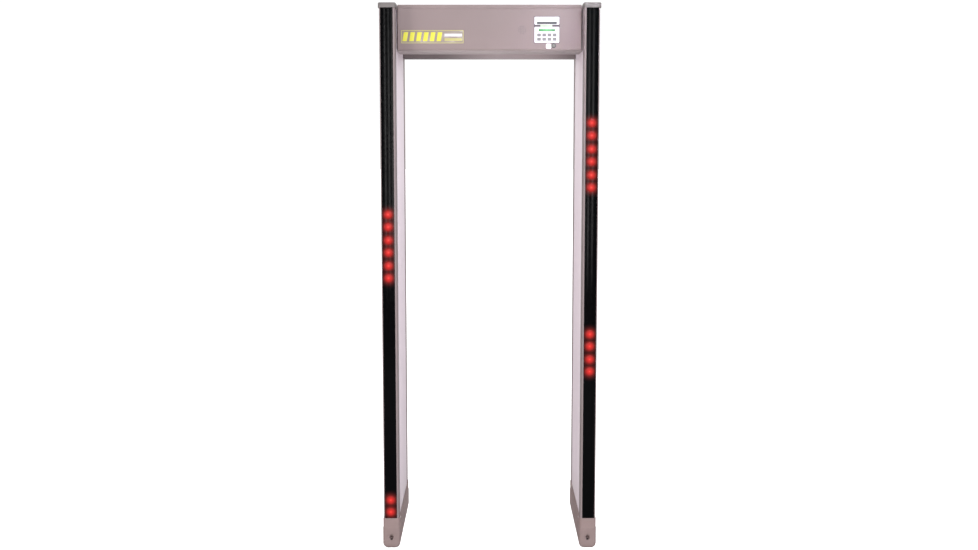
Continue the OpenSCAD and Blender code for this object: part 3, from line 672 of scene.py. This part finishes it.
def build_panel(side):
    left = side == "left"
    sign = -1 if left else 1
    lights = [(sign * (low.x + high.x) / 2, (low.z + high.z) / 2, (high.z - low.z) / 2)
              for low, high in solids("zone_lights_" + side)]
    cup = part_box("zone_lights_" + side)[1].y - front_y
    faces = bmesh.new()
    for low, high in solids("skins_right"):
        block(faces, low, high, 0.5 * MM)
    made = {}
    for name, bm, look, slot, node in (
        ("top_cap", cap_shape(), cap_look, "cap_plastic", "cap_"),
        ("foot_boot", boot_shape(), boot_look, "boot_plastic", "boot_"),
        ("boot_screw_set", screw_set("boot_screws_right"), steel, "bare_steel", "boot_screws_"),
        ("laminate_faces", faces, laminate, "laminate", "skins_"),
        ("front_extrusion", channel_shape(), aluminium, "edge_channel", "channel_front_"),
        ("rear_extrusion", backwards(channel_shape()), aluminium, "edge_channel", "channel_rear_"),
        ("front_strip", lens_shape(lights), smoked, "smoked_strip", "lens_front_"),
        ("rear_strip", backwards(lens_shape([])), smoked, "smoked_strip", "lens_rear_"),
        ("lit_lamps", lamp_shape(lights, cup), lamp, "zone_light", "zone_lights_"),
    ):
        made[name] = piece(f"{name}_{side}", bm, [look], "frame", slot, (node + side,), left)
    # Painted glow: how strongly the front strip glows red round each lamp.
    store(made["front_strip"], "spill", nearest_light(lights, sign, 24 * MM))
    store(made["rear_strip"], "spill", lambda point: 0.0)
    store(made["lit_lamps"], "glow", from_middle(lights, sign))


for side in ("left", "right"):
    build_panel(side)


# ---- control unit's chassis
def chassis_shape():
    """Folded sheet: bottom, back, top and front flanges in one, with two end plates."""
    low, high = chassis_low, chassis_high
    t, bend = sheet, 3 * MM
    low_flange, top_flange = low.z + 10 * MM, high.z - 16 * MM
    section = [
        (low.y, low.z, bend), (high.y, low.z, bend), (high.y, high.z, bend), (low.y, high.z, bend),
        (low.y, top_flange, 0), (low.y + t, top_flange, 0), (low.y + t, high.z - t, MM),
        (high.y - t, high.z - t, MM), (high.y - t, low.z + t, MM), (low.y + t, low.z + t, MM),
        (low.y + t, low_flange, 0), (low.y, low_flange, 0),
    ]
    bm = bmesh.new()
    slab(bm, section, low.x, high.x, "x", edges=(0.4 * MM, 0.4 * MM))
    near = 1.1 * t
    for sign in (-1, 1):
        for reach, begin, end in ((2.2 * t, (low.y + near, low.z + near), (high.y - near, high.z - near)),
                                  (7 * t, (low.y + 0.1 * MM, low_flange), (low.y + t, top_flange))):
            inner, outer = sorted((sign * (in_x - reach), sign * (in_x - near)))
            block(bm, (inner, *begin), (outer, *end), 0.3 * MM)
    tool = bmesh.new()
    frame_low, frame_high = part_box("switch_frame")
    block(tool, (frame_low.x + 2 * MM, high.y - 2 * t, frame_low.z + 3 * MM),
          (frame_high.x - 2 * MM, high.y + t, frame_high.z - 3 * MM))
    lathe(tool, middle_of(*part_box("cable_gland")), high.y, [(8.2, -4), (8.2, 2)])
    return carve(bm, tool)


def rear_screw_shape():
    """Screws through the chassis's back wall that hold the supply, the battery and the terminal block."""
    bm = bmesh.new()
    inset = 14 * MM
    top = chassis_high.y + 1.5 * MM
    for node in ("power_supply", "battery", "terminal_block"):
        low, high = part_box(node)
        heights = ((low.z + high.z) / 2,) if high.z - low.z < 50 * MM else (low.z + inset, high.z - inset)
        for x in (low.x + inset, high.x - inset):
            for z in heights:
                pan_head(bm, (x, z), "y", chassis_high.y - 0.2 * MM, top, 4 * MM)
    return bm


def hex_bolts(node):
    """Washer, chamfered hexagon head and shank for each bolt of a node."""
    bm = bmesh.new()
    for low, high in solids(node):
        way, inner, outer = (1, low.x, high.x) if low.x > 0 else (-1, high.x, low.x)
        centre = middle_of(low, high, "yz")
        seat = inner + way * 5 * MM
        washer = seat - way * 1.2 * MM
        turned(bm, centre, "x", [(7 * MM, washer), (7 * MM, seat)], steps=24)
        slab(bm, polygon(centre, 6.6 * MM, 6), inner, washer, "x", edges=(0.7 * MM, 0))
        shank = [(4 * MM, seat), (4 * MM, outer - way * 0.6 * MM), (3.4 * MM, outer)]
        turned(bm, centre, "x", shank, steps=20)
    return bm


def crosspiece_shape():
    """Closed tray with a back plate held by a row of screws."""
    low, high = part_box("crosspiece")
    seam = high.y - 2 * MM
    bm = bmesh.new()
    block(bm, low, (high.x, seam - 0.3 * MM, high.z), 1.5 * MM)
    block(bm, (low.x + 0.5 * MM, seam, low.z + 0.5 * MM), high - mm(0.5, 0, 0.5), 0.6 * MM)
    return bm


def crosspiece_screws():
    low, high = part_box("crosspiece")
    bm = bmesh.new()
    reach = high.x - 18 * MM
    for share in (-1, -0.5, 0, 0.5, 1):
        for z in (low.z + 12 * MM, high.z - 12 * MM):
            pan_head(bm, (share * reach, z), "y", high.y - 0.2 * MM, high.y + 1.6 * MM, 4 * MM)
    return bm


def supply_shape():
    low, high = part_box("power_supply")
    bm = bmesh.new()
    block(bm, low, high, 1.2 * MM)
    tool = bmesh.new()
    for k in range(10):
        x = low.x + (22 + 13 * k) * MM
        slab(tool, rectangle((x - 2 * MM, low.z + 20 * MM), (x + 2 * MM, low.z + 70 * MM), 1.9 * MM),
             low.y - MM, low.y + 2 * MM, "y")
        for row in range(6):
            centre = (x, low.y + (18 + 13 * row) * MM)
            turned(tool, centre, "z", [(2.4 * MM, high.z - 1.5 * MM), (2.4 * MM, high.z + MM)], steps=12)
    bm = carve(bm, tool)
    for x in (low.x + 8 * MM, high.x - 8 * MM):
        for z in (low.z + 9 * MM, high.z - 9 * MM):
            pan_head(bm, (x, z), "y", low.y + 0.1 * MM, low.y - 1.6 * MM, 3.2 * MM)
    return bm


def battery_shape():
    low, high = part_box("battery")
    top = high.z - 6 * MM
    lid = top - 14 * MM
    bm = bmesh.new()
    block(bm, low, (high.x, high.y, lid - 0.6 * MM), 2.5 * MM)
    block(bm, (low.x + MM, low.y + MM, lid - MM), (high.x - MM, high.y - MM, lid + MM), 0.5 * MM)
    block(bm, (low.x, low.y, lid), (high.x, high.y, top), 2.5 * MM)
    for k in range(5):
        x = low.x + (40 + 15 * k) * MM
        block(bm, (x - 4 * MM, low.y + 12 * MM, top - MM), (x + 4 * MM, low.y + 22 * MM, top + MM), 0.8 * MM)
    for index, x in enumerate((low.x + 18 * MM, high.x - 18 * MM)):
        y = high.y - 26 * MM
        slab(bm, rectangle((x - 7 * MM, y - 7 * MM), (x + 7 * MM, y + 7 * MM), 2 * MM), top, top + 1.5 * MM,
             edges=(0, 0.6 * MM), look=1 + index)
        block(bm, (x - 4 * MM, y - 0.5 * MM, top + MM), (x + 4 * MM, y + 0.5 * MM, high.z), 0.2 * MM, look=3)
    return bm


def terminal_shape():
    """Twelve clamps: a stepped body, a slotted screw in each well and wire mouths below."""
    low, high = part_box("terminal_block")
    bm = bmesh.new()
    block(bm, low, high, 0.8 * MM)
    tool = bmesh.new()
    places = [low.x + (5 + 10 * k) * MM for k in range(12)]
    for x in places:
        lathe(tool, (x, low.z + 17 * MM), low.y, [(3.1, -1), (3.1, 6)], steps=20)
        slab(tool, rectangle((x - 3 * MM, low.z + 3 * MM), (x + 3 * MM, low.z + 9 * MM), 0.8 * MM),
             low.y - MM, low.y + 10 * MM, "y")
        block(tool, (x + 4.8 * MM, low.y - MM, low.z - MM), (x + 5.2 * MM, low.y + 1.5 * MM, high.z + MM))
    bm = carve(bm, tool)
    for x in places:
        pan_head(bm, (x, low.z + 17 * MM), "y", low.y + 5.5 * MM, low.y + 3 * MM, 2.9 * MM, look=1, slot=True)
    return bm


def gland_shape():
    """Flange with a hexagon, a ribbed dome nut and a threaded neck with its lock nut."""
    low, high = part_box("cable_gland")
    centre = middle_of(low, high)
    wall = chassis_high.y
    bm = bmesh.new()
    lathe(bm, centre, wall, [(11.8, 0), (11.8, 1.4), (11, 2)])
    slab(bm, polygon(centre, 12 * MM, 6, MM), wall + 1.8 * MM, wall + 4.6 * MM, "y", edges=(0, 0.6 * MM))
    lathe(bm, centre, wall, [(9.3, 4), (9.3, 10), (9.0, 12.5), (8.2, 14.5), (6.8, 15.7), (5.6, 16)])
    for k in range(18):
        turn = 2 * math.pi * k / 18
        rib = (centre[0] + 9.2 * MM * math.cos(turn), centre[1] + 9.2 * MM * math.sin(turn))
        lathe(bm, rib, wall, [(0.5, 4.8), (0.5, 11), (0.2, 12)], steps=8)
    lathe(bm, centre, wall, thread(10, 7.9, 7.4, -11.8) + [(7.9, -0.2)])
    slab(bm, polygon(centre, 12 * MM, 6, MM), wall - 7 * MM, wall - sheet, "y", edges=(0.6 * MM, 0.3 * MM))
    tool = bmesh.new()
    turned(tool, centre, "y", [(4.5 * MM, low.y - MM), (4.5 * MM, high.y - 2 * MM), (5.4 * MM, high.y + MM)])
    return carve(bm, tool)


for name, shape, looks, slot, node in (
    ("chassis_shell", chassis_shape(), [chassis_look], "header_metal", "chassis"),
    ("rear_wall_screws", rear_screw_shape(), [steel], "bare_steel", None),
    ("hex_bolt_set", hex_bolts("frame_bolts"), [steel], "bare_steel", "frame_bolts"),
    ("rear_crosspiece", crosspiece_shape(), [crosspiece_look_painted_highlight], "crosspiece_metal", "crosspiece"),
    ("crosspiece_screws", crosspiece_screws(), [steel], "bare_steel", None),
    ("supply_unit", supply_shape(), [case_look], "supply_case", "power_supply"),
    ("backup_battery", battery_shape(), [battery_look, red_plastic, black, steel], "battery_case", "battery"),
    ("clamp_row", terminal_shape(), [terminal_look, steel], "terminal_green", "terminal_block"),
    ("inlet_gland", gland_shape(), [black], "black_plastic", "cable_gland"),
):
    piece(name, shape, looks, "frame", slot, (node,) if node else ())


# ---- hinged cover and its controls
def window_tool(bm, front, back):
    """Cutters for the key window, the display and the bargraph."""
    front_slab(bm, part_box("key_1")[0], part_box("key_8")[1], 0, front, back, grow=2 * MM)
    front_slab(bm, window_low, window_high, 0, front, back)
    front_slab(bm, bar_low, bar_high, 0, front, back)


def cover_shape():
    """Shallow tray; its face goes on upwards as a lip, past a shallow groove, in front of the hinge."""
    low = cover_low
    high = Vector((cover_high.x, cover_high.y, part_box("hinge_cover")[0].z))
    bm = bmesh.new()
    front_slab(bm, low, high, 2 * MM, low.y, high.y, edges=(1.6 * MM, 0.4 * MM))
    tool = bmesh.new()
    front_slab(tool, low, high, 2 * MM, low.y + sheet, high.y + MM, edges=(MM, 0), grow=-sheet)
    bm = carve(bm, tool)
    side, depth = 0.4 * MM, 1.4 * MM
    block(bm, (low.x + side, low.y + depth, high.z - 4 * MM), (high.x - side, low.y + sheet, high.z + 3 * MM))
    block(bm, (low.x, low.y, high.z + 2 * MM), (high.x, low.y + sheet, cover_high.z), 0.6 * MM)
    tool = bmesh.new()
    window_tool(tool, low.y - MM, low.y + 2 * sheet)
    lathe(tool, lock_place(), low.y, [(8.2, -1), (8.2, 4)])
    horn = middle_of(*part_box("sounder"))
    for i in range(-2, 3):
        for j in range(-2, 3):
            if i * i + j * j < 7:
                spot = (horn[0] + 6.6 * MM * i, horn[1] + 6.6 * MM * j)
                lathe(tool, spot, low.y, [(1.3, -1), (1.3, 4)], steps=14)
    return carve(bm, tool)


def base_shape():
    low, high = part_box("control_base")
    bm = bmesh.new()
    front_slab(bm, low, high, 3 * MM, high.y, low.y, edges=(0, 0.3 * MM))
    tool = bmesh.new()
    window_tool(tool, low.y - MM, high.y + MM)
    return carve(bm, tool)


def plate_shape(node, openings):
    """White control plate with eased edges and rounded openings."""
    low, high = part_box(node)
    bm = bmesh.new()
    front_slab(bm, low, high, 3.5 * MM, high.y, low.y, edges=(0, 0.8 * MM))
    tool = bmesh.new()
    for hole_low, hole_high, radius in openings:
        slab(tool, rectangle(hole_low, hole_high, radius), low.y - MM, high.y + MM, "y")
    return carve(bm, tool)


def key_holes():
    gap, radius = 0.3 * MM, 2.2 * MM
    made = []
    for k in range(8):
        low, high = key_cap_box(k)
        made.append(((low.x - gap, low.z - gap), (high.x + gap, high.z + gap), radius))
    return made


def key_cap_box(k):
    """Box of a key's cap, without the wider flange behind the plate."""
    low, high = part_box(f"key_{k + 1}")
    flange = 1.5 * MM
    return Vector((low.x + flange, low.y, low.z + flange)), Vector((high.x - flange, high.y, high.z - flange))


def key_shape(k):
    """Key with a dished cap, a flange behind the plate and a stem."""
    low, high = key_cap_box(k)
    back = low.y + 4 * MM
    dish = ((0, 4), (0, 0.7), (0.2, 0.25), (0.7, 0), (1.6, 0.12), (3.2, 0.34), (4.8, 0.42))
    steps = [(inset, low.y + depth * MM) for inset, depth in dish]
    bm = bmesh.new()
    crowned(bm, low, high, 2 * MM, steps)
    front_slab(bm, low, high, 2 * MM, back, back + MM, edges=(0.2 * MM, 0.2 * MM), grow=1.5 * MM)
    turned(bm, middle_of(low, high), "y", [(2.5 * MM, back + 0.9 * MM), (2.5 * MM, high.y - 0.3 * MM),
                                           (2.2 * MM, high.y)], steps=20)
    return bm


def pane_shape(node, corner, grow=0.0):
    """Small pane with an eased front rim."""
    low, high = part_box(node)
    bm = bmesh.new()
    front_slab(bm, low, high, corner, high.y, low.y, edges=(0, 0.5 * MM), grow=grow)
    return bm


def bar_shape():
    """Row of light segments under one carrier."""
    low, high = bar_low, bar_high
    bm = bmesh.new()
    block(bm, low + mm(0.2, 0.6, 0.2), high - mm(0.2, 0, 0.2), 0.3 * MM)
    count = 12
    pitch = (high.x - low.x) / count
    for k in range(count):
        x = low.x + pitch * k
        block(bm, (x + 0.4 * MM, low.y, low.z + 0.8 * MM),
              (x + pitch - 0.4 * MM, low.y + MM, high.z - 0.8 * MM), 0.35 * MM)
    return bm


def tile_shape():
    """Slightly pillowed tile."""
    low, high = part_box("tile")
    steps = [(0, high.y), (0, high.y - 0.4 * MM), (0.35, low.y + 0.35 * MM), (1.2, low.y + 0.12 * MM),
             (4, low.y + 0.02 * MM), (7, low.y)]
    bm = bmesh.new()
    crowned(bm, low, high, 5 * MM, steps)
    return bm


def badge_shape():
    """Plain plate: film, thin border, slanted bars and two plain lines."""
    low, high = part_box("badge")
    bm = bmesh.new()
    face = high.y - 0.6 * MM
    front_slab(bm, low, high, 2 * MM, high.y, face, edges=(0, 0.2 * MM))
    rim = 2.6 * MM
    border = bmesh.new()
    front_slab(border, low, high, 2 * MM, face, low.y, edges=(0, 0.2 * MM), look=2)
    tool = bmesh.new()
    front_slab(tool, low, high, 0, face + MM, low.y - MM, look=2, grow=-rim)
    join(bm, carve(border, tool))
    bars, pitch, width, lean = 6, 27.5 * MM, 18 * MM, 6 * MM
    for k in range(bars):
        x = low.x + 5 * MM + pitch * k
        corners = [(x, low.z + 8 * MM, MM), (x + width, low.z + 8 * MM, MM),
                   (x + width + lean, high.z - 8 * MM, MM), (x + lean, high.z - 8 * MM, MM)]
        slab(bm, corners, face, low.y, "y", edges=(0, 0.25 * MM), look=1)
    for z0, z1, look in ((27, 38, 3), (9, 20, 2)):
        slab(bm, rectangle((low.x + 175 * MM, low.z + z0 * MM), (low.x + 246 * MM, low.z + z1 * MM), MM),
             face, low.y, "y", edges=(0, 0.25 * MM), look=look)
    return bm


def lock_place():
    return middle_of(*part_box("lock_plug"))


def lock_shape():
    """Flared ring on the face, threaded barrel and hexagon nut behind the cover."""
    centre, face = lock_place(), cover_low.y
    bm = bmesh.new()
    lathe(bm, centre, face, [(9.5, -0.2), (9.5, -1.2), (9.2, -2.2), (8.6, -2.8), (8.0, -3.0), (7.05, -2.9),
                             (7.05, 1), (9.0, 1)], steps=40)
    lathe(bm, centre, face, [(7.95, -0.5)] + thread(18, 7.95, 7.5, 1.5) + [(7.95, 21.8)])
    slab(bm, polygon(centre, 11 * MM, 6, 0.5 * MM), face + sheet, face + 5.5 * MM, "y",
         edges=(0.4 * MM, 0.6 * MM))
    tool = bmesh.new()
    lathe(tool, centre, face, [(6.05, -5), (6.05, 25)])
    lathe(tool, centre, face, [(7.05, -5), (7.05, -1)])
    return carve(bm, tool)


def plug_shape():
    low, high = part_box("lock_plug")
    centre = middle_of(low, high)
    bm = bmesh.new()
    lathe(bm, centre, low.y, [(0, 0), (6.2, 0), (6.7, 0.15), (6.95, 0.5), (6.95, 2), (6, 2), (6, 25.8),
                              (3.45, 25.9), (3.45, 28.4)], steps=40)
    tool = bmesh.new()
    plinth(tool, centre, (1.6, 8.4), low.y - MM, low.y + 9 * MM)
    lathe(tool, centre, high.y, [(1.55, -8), (1.55, 1)], steps=16)
    return carve(bm, tool)


def cam_shape():
    """Cam with a wide eye and a long arm, and the screw that holds it."""
    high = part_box("lock_cam")[1]
    x, z = lock_place()
    face = cover_high.y + 4.5 * MM
    half = [(x - 6 * MM, 6 * MM, 5.8 * MM), (x + 5 * MM, 6 * MM, 3 * MM), (x + 7 * MM, 4 * MM, 2 * MM),
            (high.x, 4 * MM, 2 * MM)]
    corners = [(a, z - b, r) for a, b, r in half] + [(a, z + b, r) for a, b, r in reversed(half)]
    bm = bmesh.new()
    slab(bm, corners, face, face + 2.5 * MM, "y", edges=(0.3 * MM, 0.3 * MM))
    tool = bmesh.new()
    lathe(tool, (x, z), face, [(3.55, -1), (3.55, 4)])
    bm = carve(bm, tool)
    pan_head(bm, (x, z), "y", face + 2.55 * MM, high.y, 5 * MM)
    lathe(bm, (x, z), face, [(1.5, -4.8), (1.5, 3)], steps=16)
    return bm


def board_shape():
    """Printed board with its posts, screws, chips, connectors and small parts."""
    low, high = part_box("main_board")
    back, front = high.y, high.y - 1.6 * MM
    bm = bmesh.new()

    def part(x, z, w, h, tall, edge=0.0, look=1, start=0.0):
        """Block on the board's back, its place and size in mm."""
        plinth(bm, (low.x + x * MM, low.z + z * MM), (w, h), back + start * MM, back + tall * MM, edge, look)

    front_slab(bm, low, high, 2 * MM, front, back, edges=(0.1 * MM, 0.1 * MM))
    for x in (low.x + 5 * MM, high.x - 5 * MM):
        for z in (low.z + 6 * MM, high.z - 5 * MM):
            slab(bm, polygon((x, z), 3.4 * MM, 6), cover_low.y + sheet, front, "y", look=1)
            pan_head(bm, (x, z), "y", back, back + 1.8 * MM, 2.8 * MM, look=1)
    for k in range(8):
        plinth(bm, middle_of(*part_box(f"key_{k + 1}")), (6, 6), front - 1.6 * MM, front, 0.3 * MM, 2)
    chips = ((26, 30, 22, 22), (62, 26, 14, 9), (62, 42, 14, 9), (92, 30, 10, 16), (30, 62, 18, 10))
    for x, z, w, h in chips:
        part(x, z, w, h, 1.6, 0.3 * MM, 2)
        legs = w // 2 - 1
        for k in range(legs):
            for end in (-1, 1):
                part(x + 2 * k - legs + 1, z + end * (h / 2 + 0.7), 0.8, 1.4, 0.5)
    for x, z, w in ((92, 88, 34), (40, 94, 26)):
        part(x, z, w, 8, 5, 0.5 * MM, 3)
        pins = w // 3 - 1
        for k in range(pins):
            part(x + 3 * k - 1.5 * (pins - 1), z, 0.8, 0.8, 6, start=4.8)
    for x, z, r in ((78, 66, 4), (90, 66, 4), (102, 66, 3)):
        lathe(bm, (low.x + x * MM, low.z + z * MM), back, [(r, 0), (r, 4.6), (r - 0.4, 5)], 4, 20)
    for row in range(2):
        for k in range(12):
            part(12 + 5 * k, 76 + 4.5 * row, 2, 1.2, 0.6, look=1 + k % 2)
    return bm


def along(node):
    """1 in the middle of a node's width and 0 at its ends."""
    low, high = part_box(node)

    def value(point):
        share = (point.x - low.x) / (high.x - low.x)
        return max(0.0, 1 - abs(share - 0.5) / 0.5)
    return value


slot_box = ((window_low.x - MM, window_low.z - MM), (window_high.x + MM, window_high.z + 1.2 * MM), 1.5 * MM)
bar_box = ((bar_low.x, bar_low.z), (bar_high.x, bar_high.z), 2 * MM)
for name, shape, looks, body, slot, node in (
    ("cover_shell", cover_shape(), [cover_look], "cover", "cover_metal", "cover"),
    ("dark_backing", base_shape(), [dark_base], "cover", "black_plastic", "control_base"),
    ("display_panel", plate_shape("display_plate", [slot_box]), [white], "cover", "white_plate",
     "display_plate"),
    ("keypad_panel", plate_shape("keypad_plate", [bar_box] + key_holes()), [white], "cover", "white_plate",
     "keypad_plate"),
    ("display_pane", pane_shape("display_window", 1.2 * MM, -0.3 * MM), [glass], "cover", "display_glass",
     "display_window"),
    ("level_bar", bar_shape(), [bar_look], "cover", "bar_green", "bargraph"),
    ("status_light", pane_shape("light_bar", 0.8 * MM), [pale_light], "cover", "light_pale", "light_bar"),
    ("white_tile", tile_shape(), [white], "cover", "white_plate", "tile"),
    ("plain_badge", badge_shape(), [film, yellow, pale_yellow, white_ink], "cover", "badge_yellow", "badge"),
    ("lock_barrel", lock_shape(), [chrome], "cover", "lock_chrome", "lock_body"),
    ("key_plug", plug_shape(), [brass], "lock_plug", "lock_plug_metal", "lock_plug"),
    ("cam_and_screw", cam_shape(), [steel], "lock_plug", "bare_steel", "lock_cam"),
    ("control_board", board_shape(), [circuit, steel, black, white, case_look], "cover", "circuit_board",
     "main_board"),
):
    made = piece(name, shape, looks, body, slot, (node,))
    if looks[0] in (bar_look, pale_light):
        store(made, "glow", along(node))
for k in range(8):
    piece(f"key_cap_{k + 1}", key_shape(k), [key_look], f"key_{k + 1}", "key_grey", (f"key_{k + 1}",))


# ---- CAD nodes that show as they are
KEPT = {
    "core": timber, "coil": copper, "led_board": circuit, "pads": rubber, "hinge_fixed": hinge_look,
    "hinge_cover": hinge_look, "hinge_pin": steel, "switch_frame": black, "rocker": red_plastic,
    "sounder": black,
}
for name, thing in nodes.items():
    stem = name.replace("_left", "").replace("_right", "")
    if stem not in KEPT:
        continue
    thing.data.materials.clear()
    thing.data.materials.append(KEPT[stem])
    if stem in ("hinge_fixed", "hinge_cover", "switch_frame", "rocker", "pads"):
        ease = thing.modifiers.new("ease", "BEVEL")
        ease.width = 0.3 * MM
        ease.segments = 2
        ease.limit_method = "ANGLE"
        ease.angle_limit = math.radians(40)


# ---- floor, light and camera
def build_floor():
    """White sweep to the camera, and a soft grey carpet to everything that it lights."""
    t = Tree("floor_white")
    t.surface(Base_Color=t.ramp(t.noise(1.5), [(0.3, (0.90, 0.90, 0.90)), (0.7, (0.92, 0.92, 0.92))]))
    t.surface(Roughness=t.spread(t.noise(8.0), 0.85, 0.9), Specular_IOR_Level=0.0)
    t.surface(Emission_Color=WHITE, Emission_Strength=0.8)
    grey = t.ramp(t.noise(1.5), [(0.3, (0.40, 0.40, 0.40)), (0.7, (0.44, 0.44, 0.44))])
    carpet = t.add("BsdfDiffuse", Color=grey)
    t.by_camera(carpet)
    reach = 60.0
    bm = bmesh.new()
    corners = [bm.verts.new((x * reach, y * reach, 0)) for x, y in ((-1, -1), (1, -1), (1, 1), (-1, 1))]
    bm.faces.new(corners)
    floor = in_scene("floor", mesh_of(bm, "floor"))
    floor.data.materials.append(t.owner)


def softbox(name, place, aim, size, watts, shape="RECTANGLE", colour=(1, 1, 1), spread=180):
    """Studio light of size (width, height) that points at aim."""
    data = bpy.data.lights.new(name, "AREA")
    data.shape = shape
    data.size, data.size_y = size
    data.energy = watts
    data.color = colour
    data.spread = math.radians(spread)
    lamp_object = in_scene(name, data)
    lamp_object.visible_camera = False
    lamp_object.location = place
    lamp_object.rotation_mode = "QUATERNION"
    lamp_object.rotation_quaternion = (Vector(aim) - Vector(place)).to_track_quat("-Z", "Y")


def build_world(seen, low, high):
    """White to the camera; to everything else dimmer in front than behind and above."""
    t = Tree("studio", "worlds")
    bpy.context.scene.world = t.owner
    t.surface(Color=WHITE, Strength=seen)
    split = t.add("SeparateXYZ", Vector=t.add("TexCoord").outputs["Generated"])
    strength = t.spread(split.outputs["Y"], low, high, -1.0, 0.6)
    t.by_camera(t.add("Background", Color=WHITE, Strength=strength))


def build_camera():
    """Camera at a standing person's eye height, a little above the middle and looking slightly down."""
    data = bpy.data.cameras.new("camera")
    data.sensor_width = 36.0
    data.lens = 44.645
    data.clip_end = 200.0
    camera = in_scene("camera", data)
    camera.location = (-0.0097, front_y - 4.885, 1.6958)
    camera.rotation_euler = (math.radians(90 - 6.479), 0, math.radians(-0.086))
    bpy.context.scene.camera = camera


build_floor()
build_world(1.05, 0.22, 1.2)
softbox("key", (1.3, -4.5, 3.5), (0.1, 0, 1.5), (1.3, 0.9), 90, colour=(0.86, 0.93, 1.0))
softbox("side", (3.2, -3.4, 1.6), (-0.1, 0, 1.2), (1.4, 2.2), 60)
softbox("fill", (-3.1, -3.6, 1.7), (0.1, 0, 1.2), (1.4, 2.2), 75, colour=(1.0, 0.95, 0.92))
softbox("top", (0, -0.6, 4.6), (0, 0, 1.0), (3.0, 3.0), 40)
softbox("accent", (0.45, -3.6, 3.4), (0.40, -0.2, 1.98), (0.3, 0.3), 0.46, colour=(0.86, 0.82, 1.0),
        spread=13)
softbox("bounce", (0, -0.3, 0.05), (0, -0.08, 2.0), (0.5, 0.3), 0.66, spread=24)
for name, x in (("tube_1", -1.15), ("tube_2", -0.42), ("tube_3", 0.22), ("tube_4", 1.02)):
    softbox(name, (x, -4.7, 1.7), (x, 0, 1.7), (0.26, 2.3), 18, "ELLIPSE")
build_camera()
bpy.context.scene.view_settings.view_transform = "Standard"
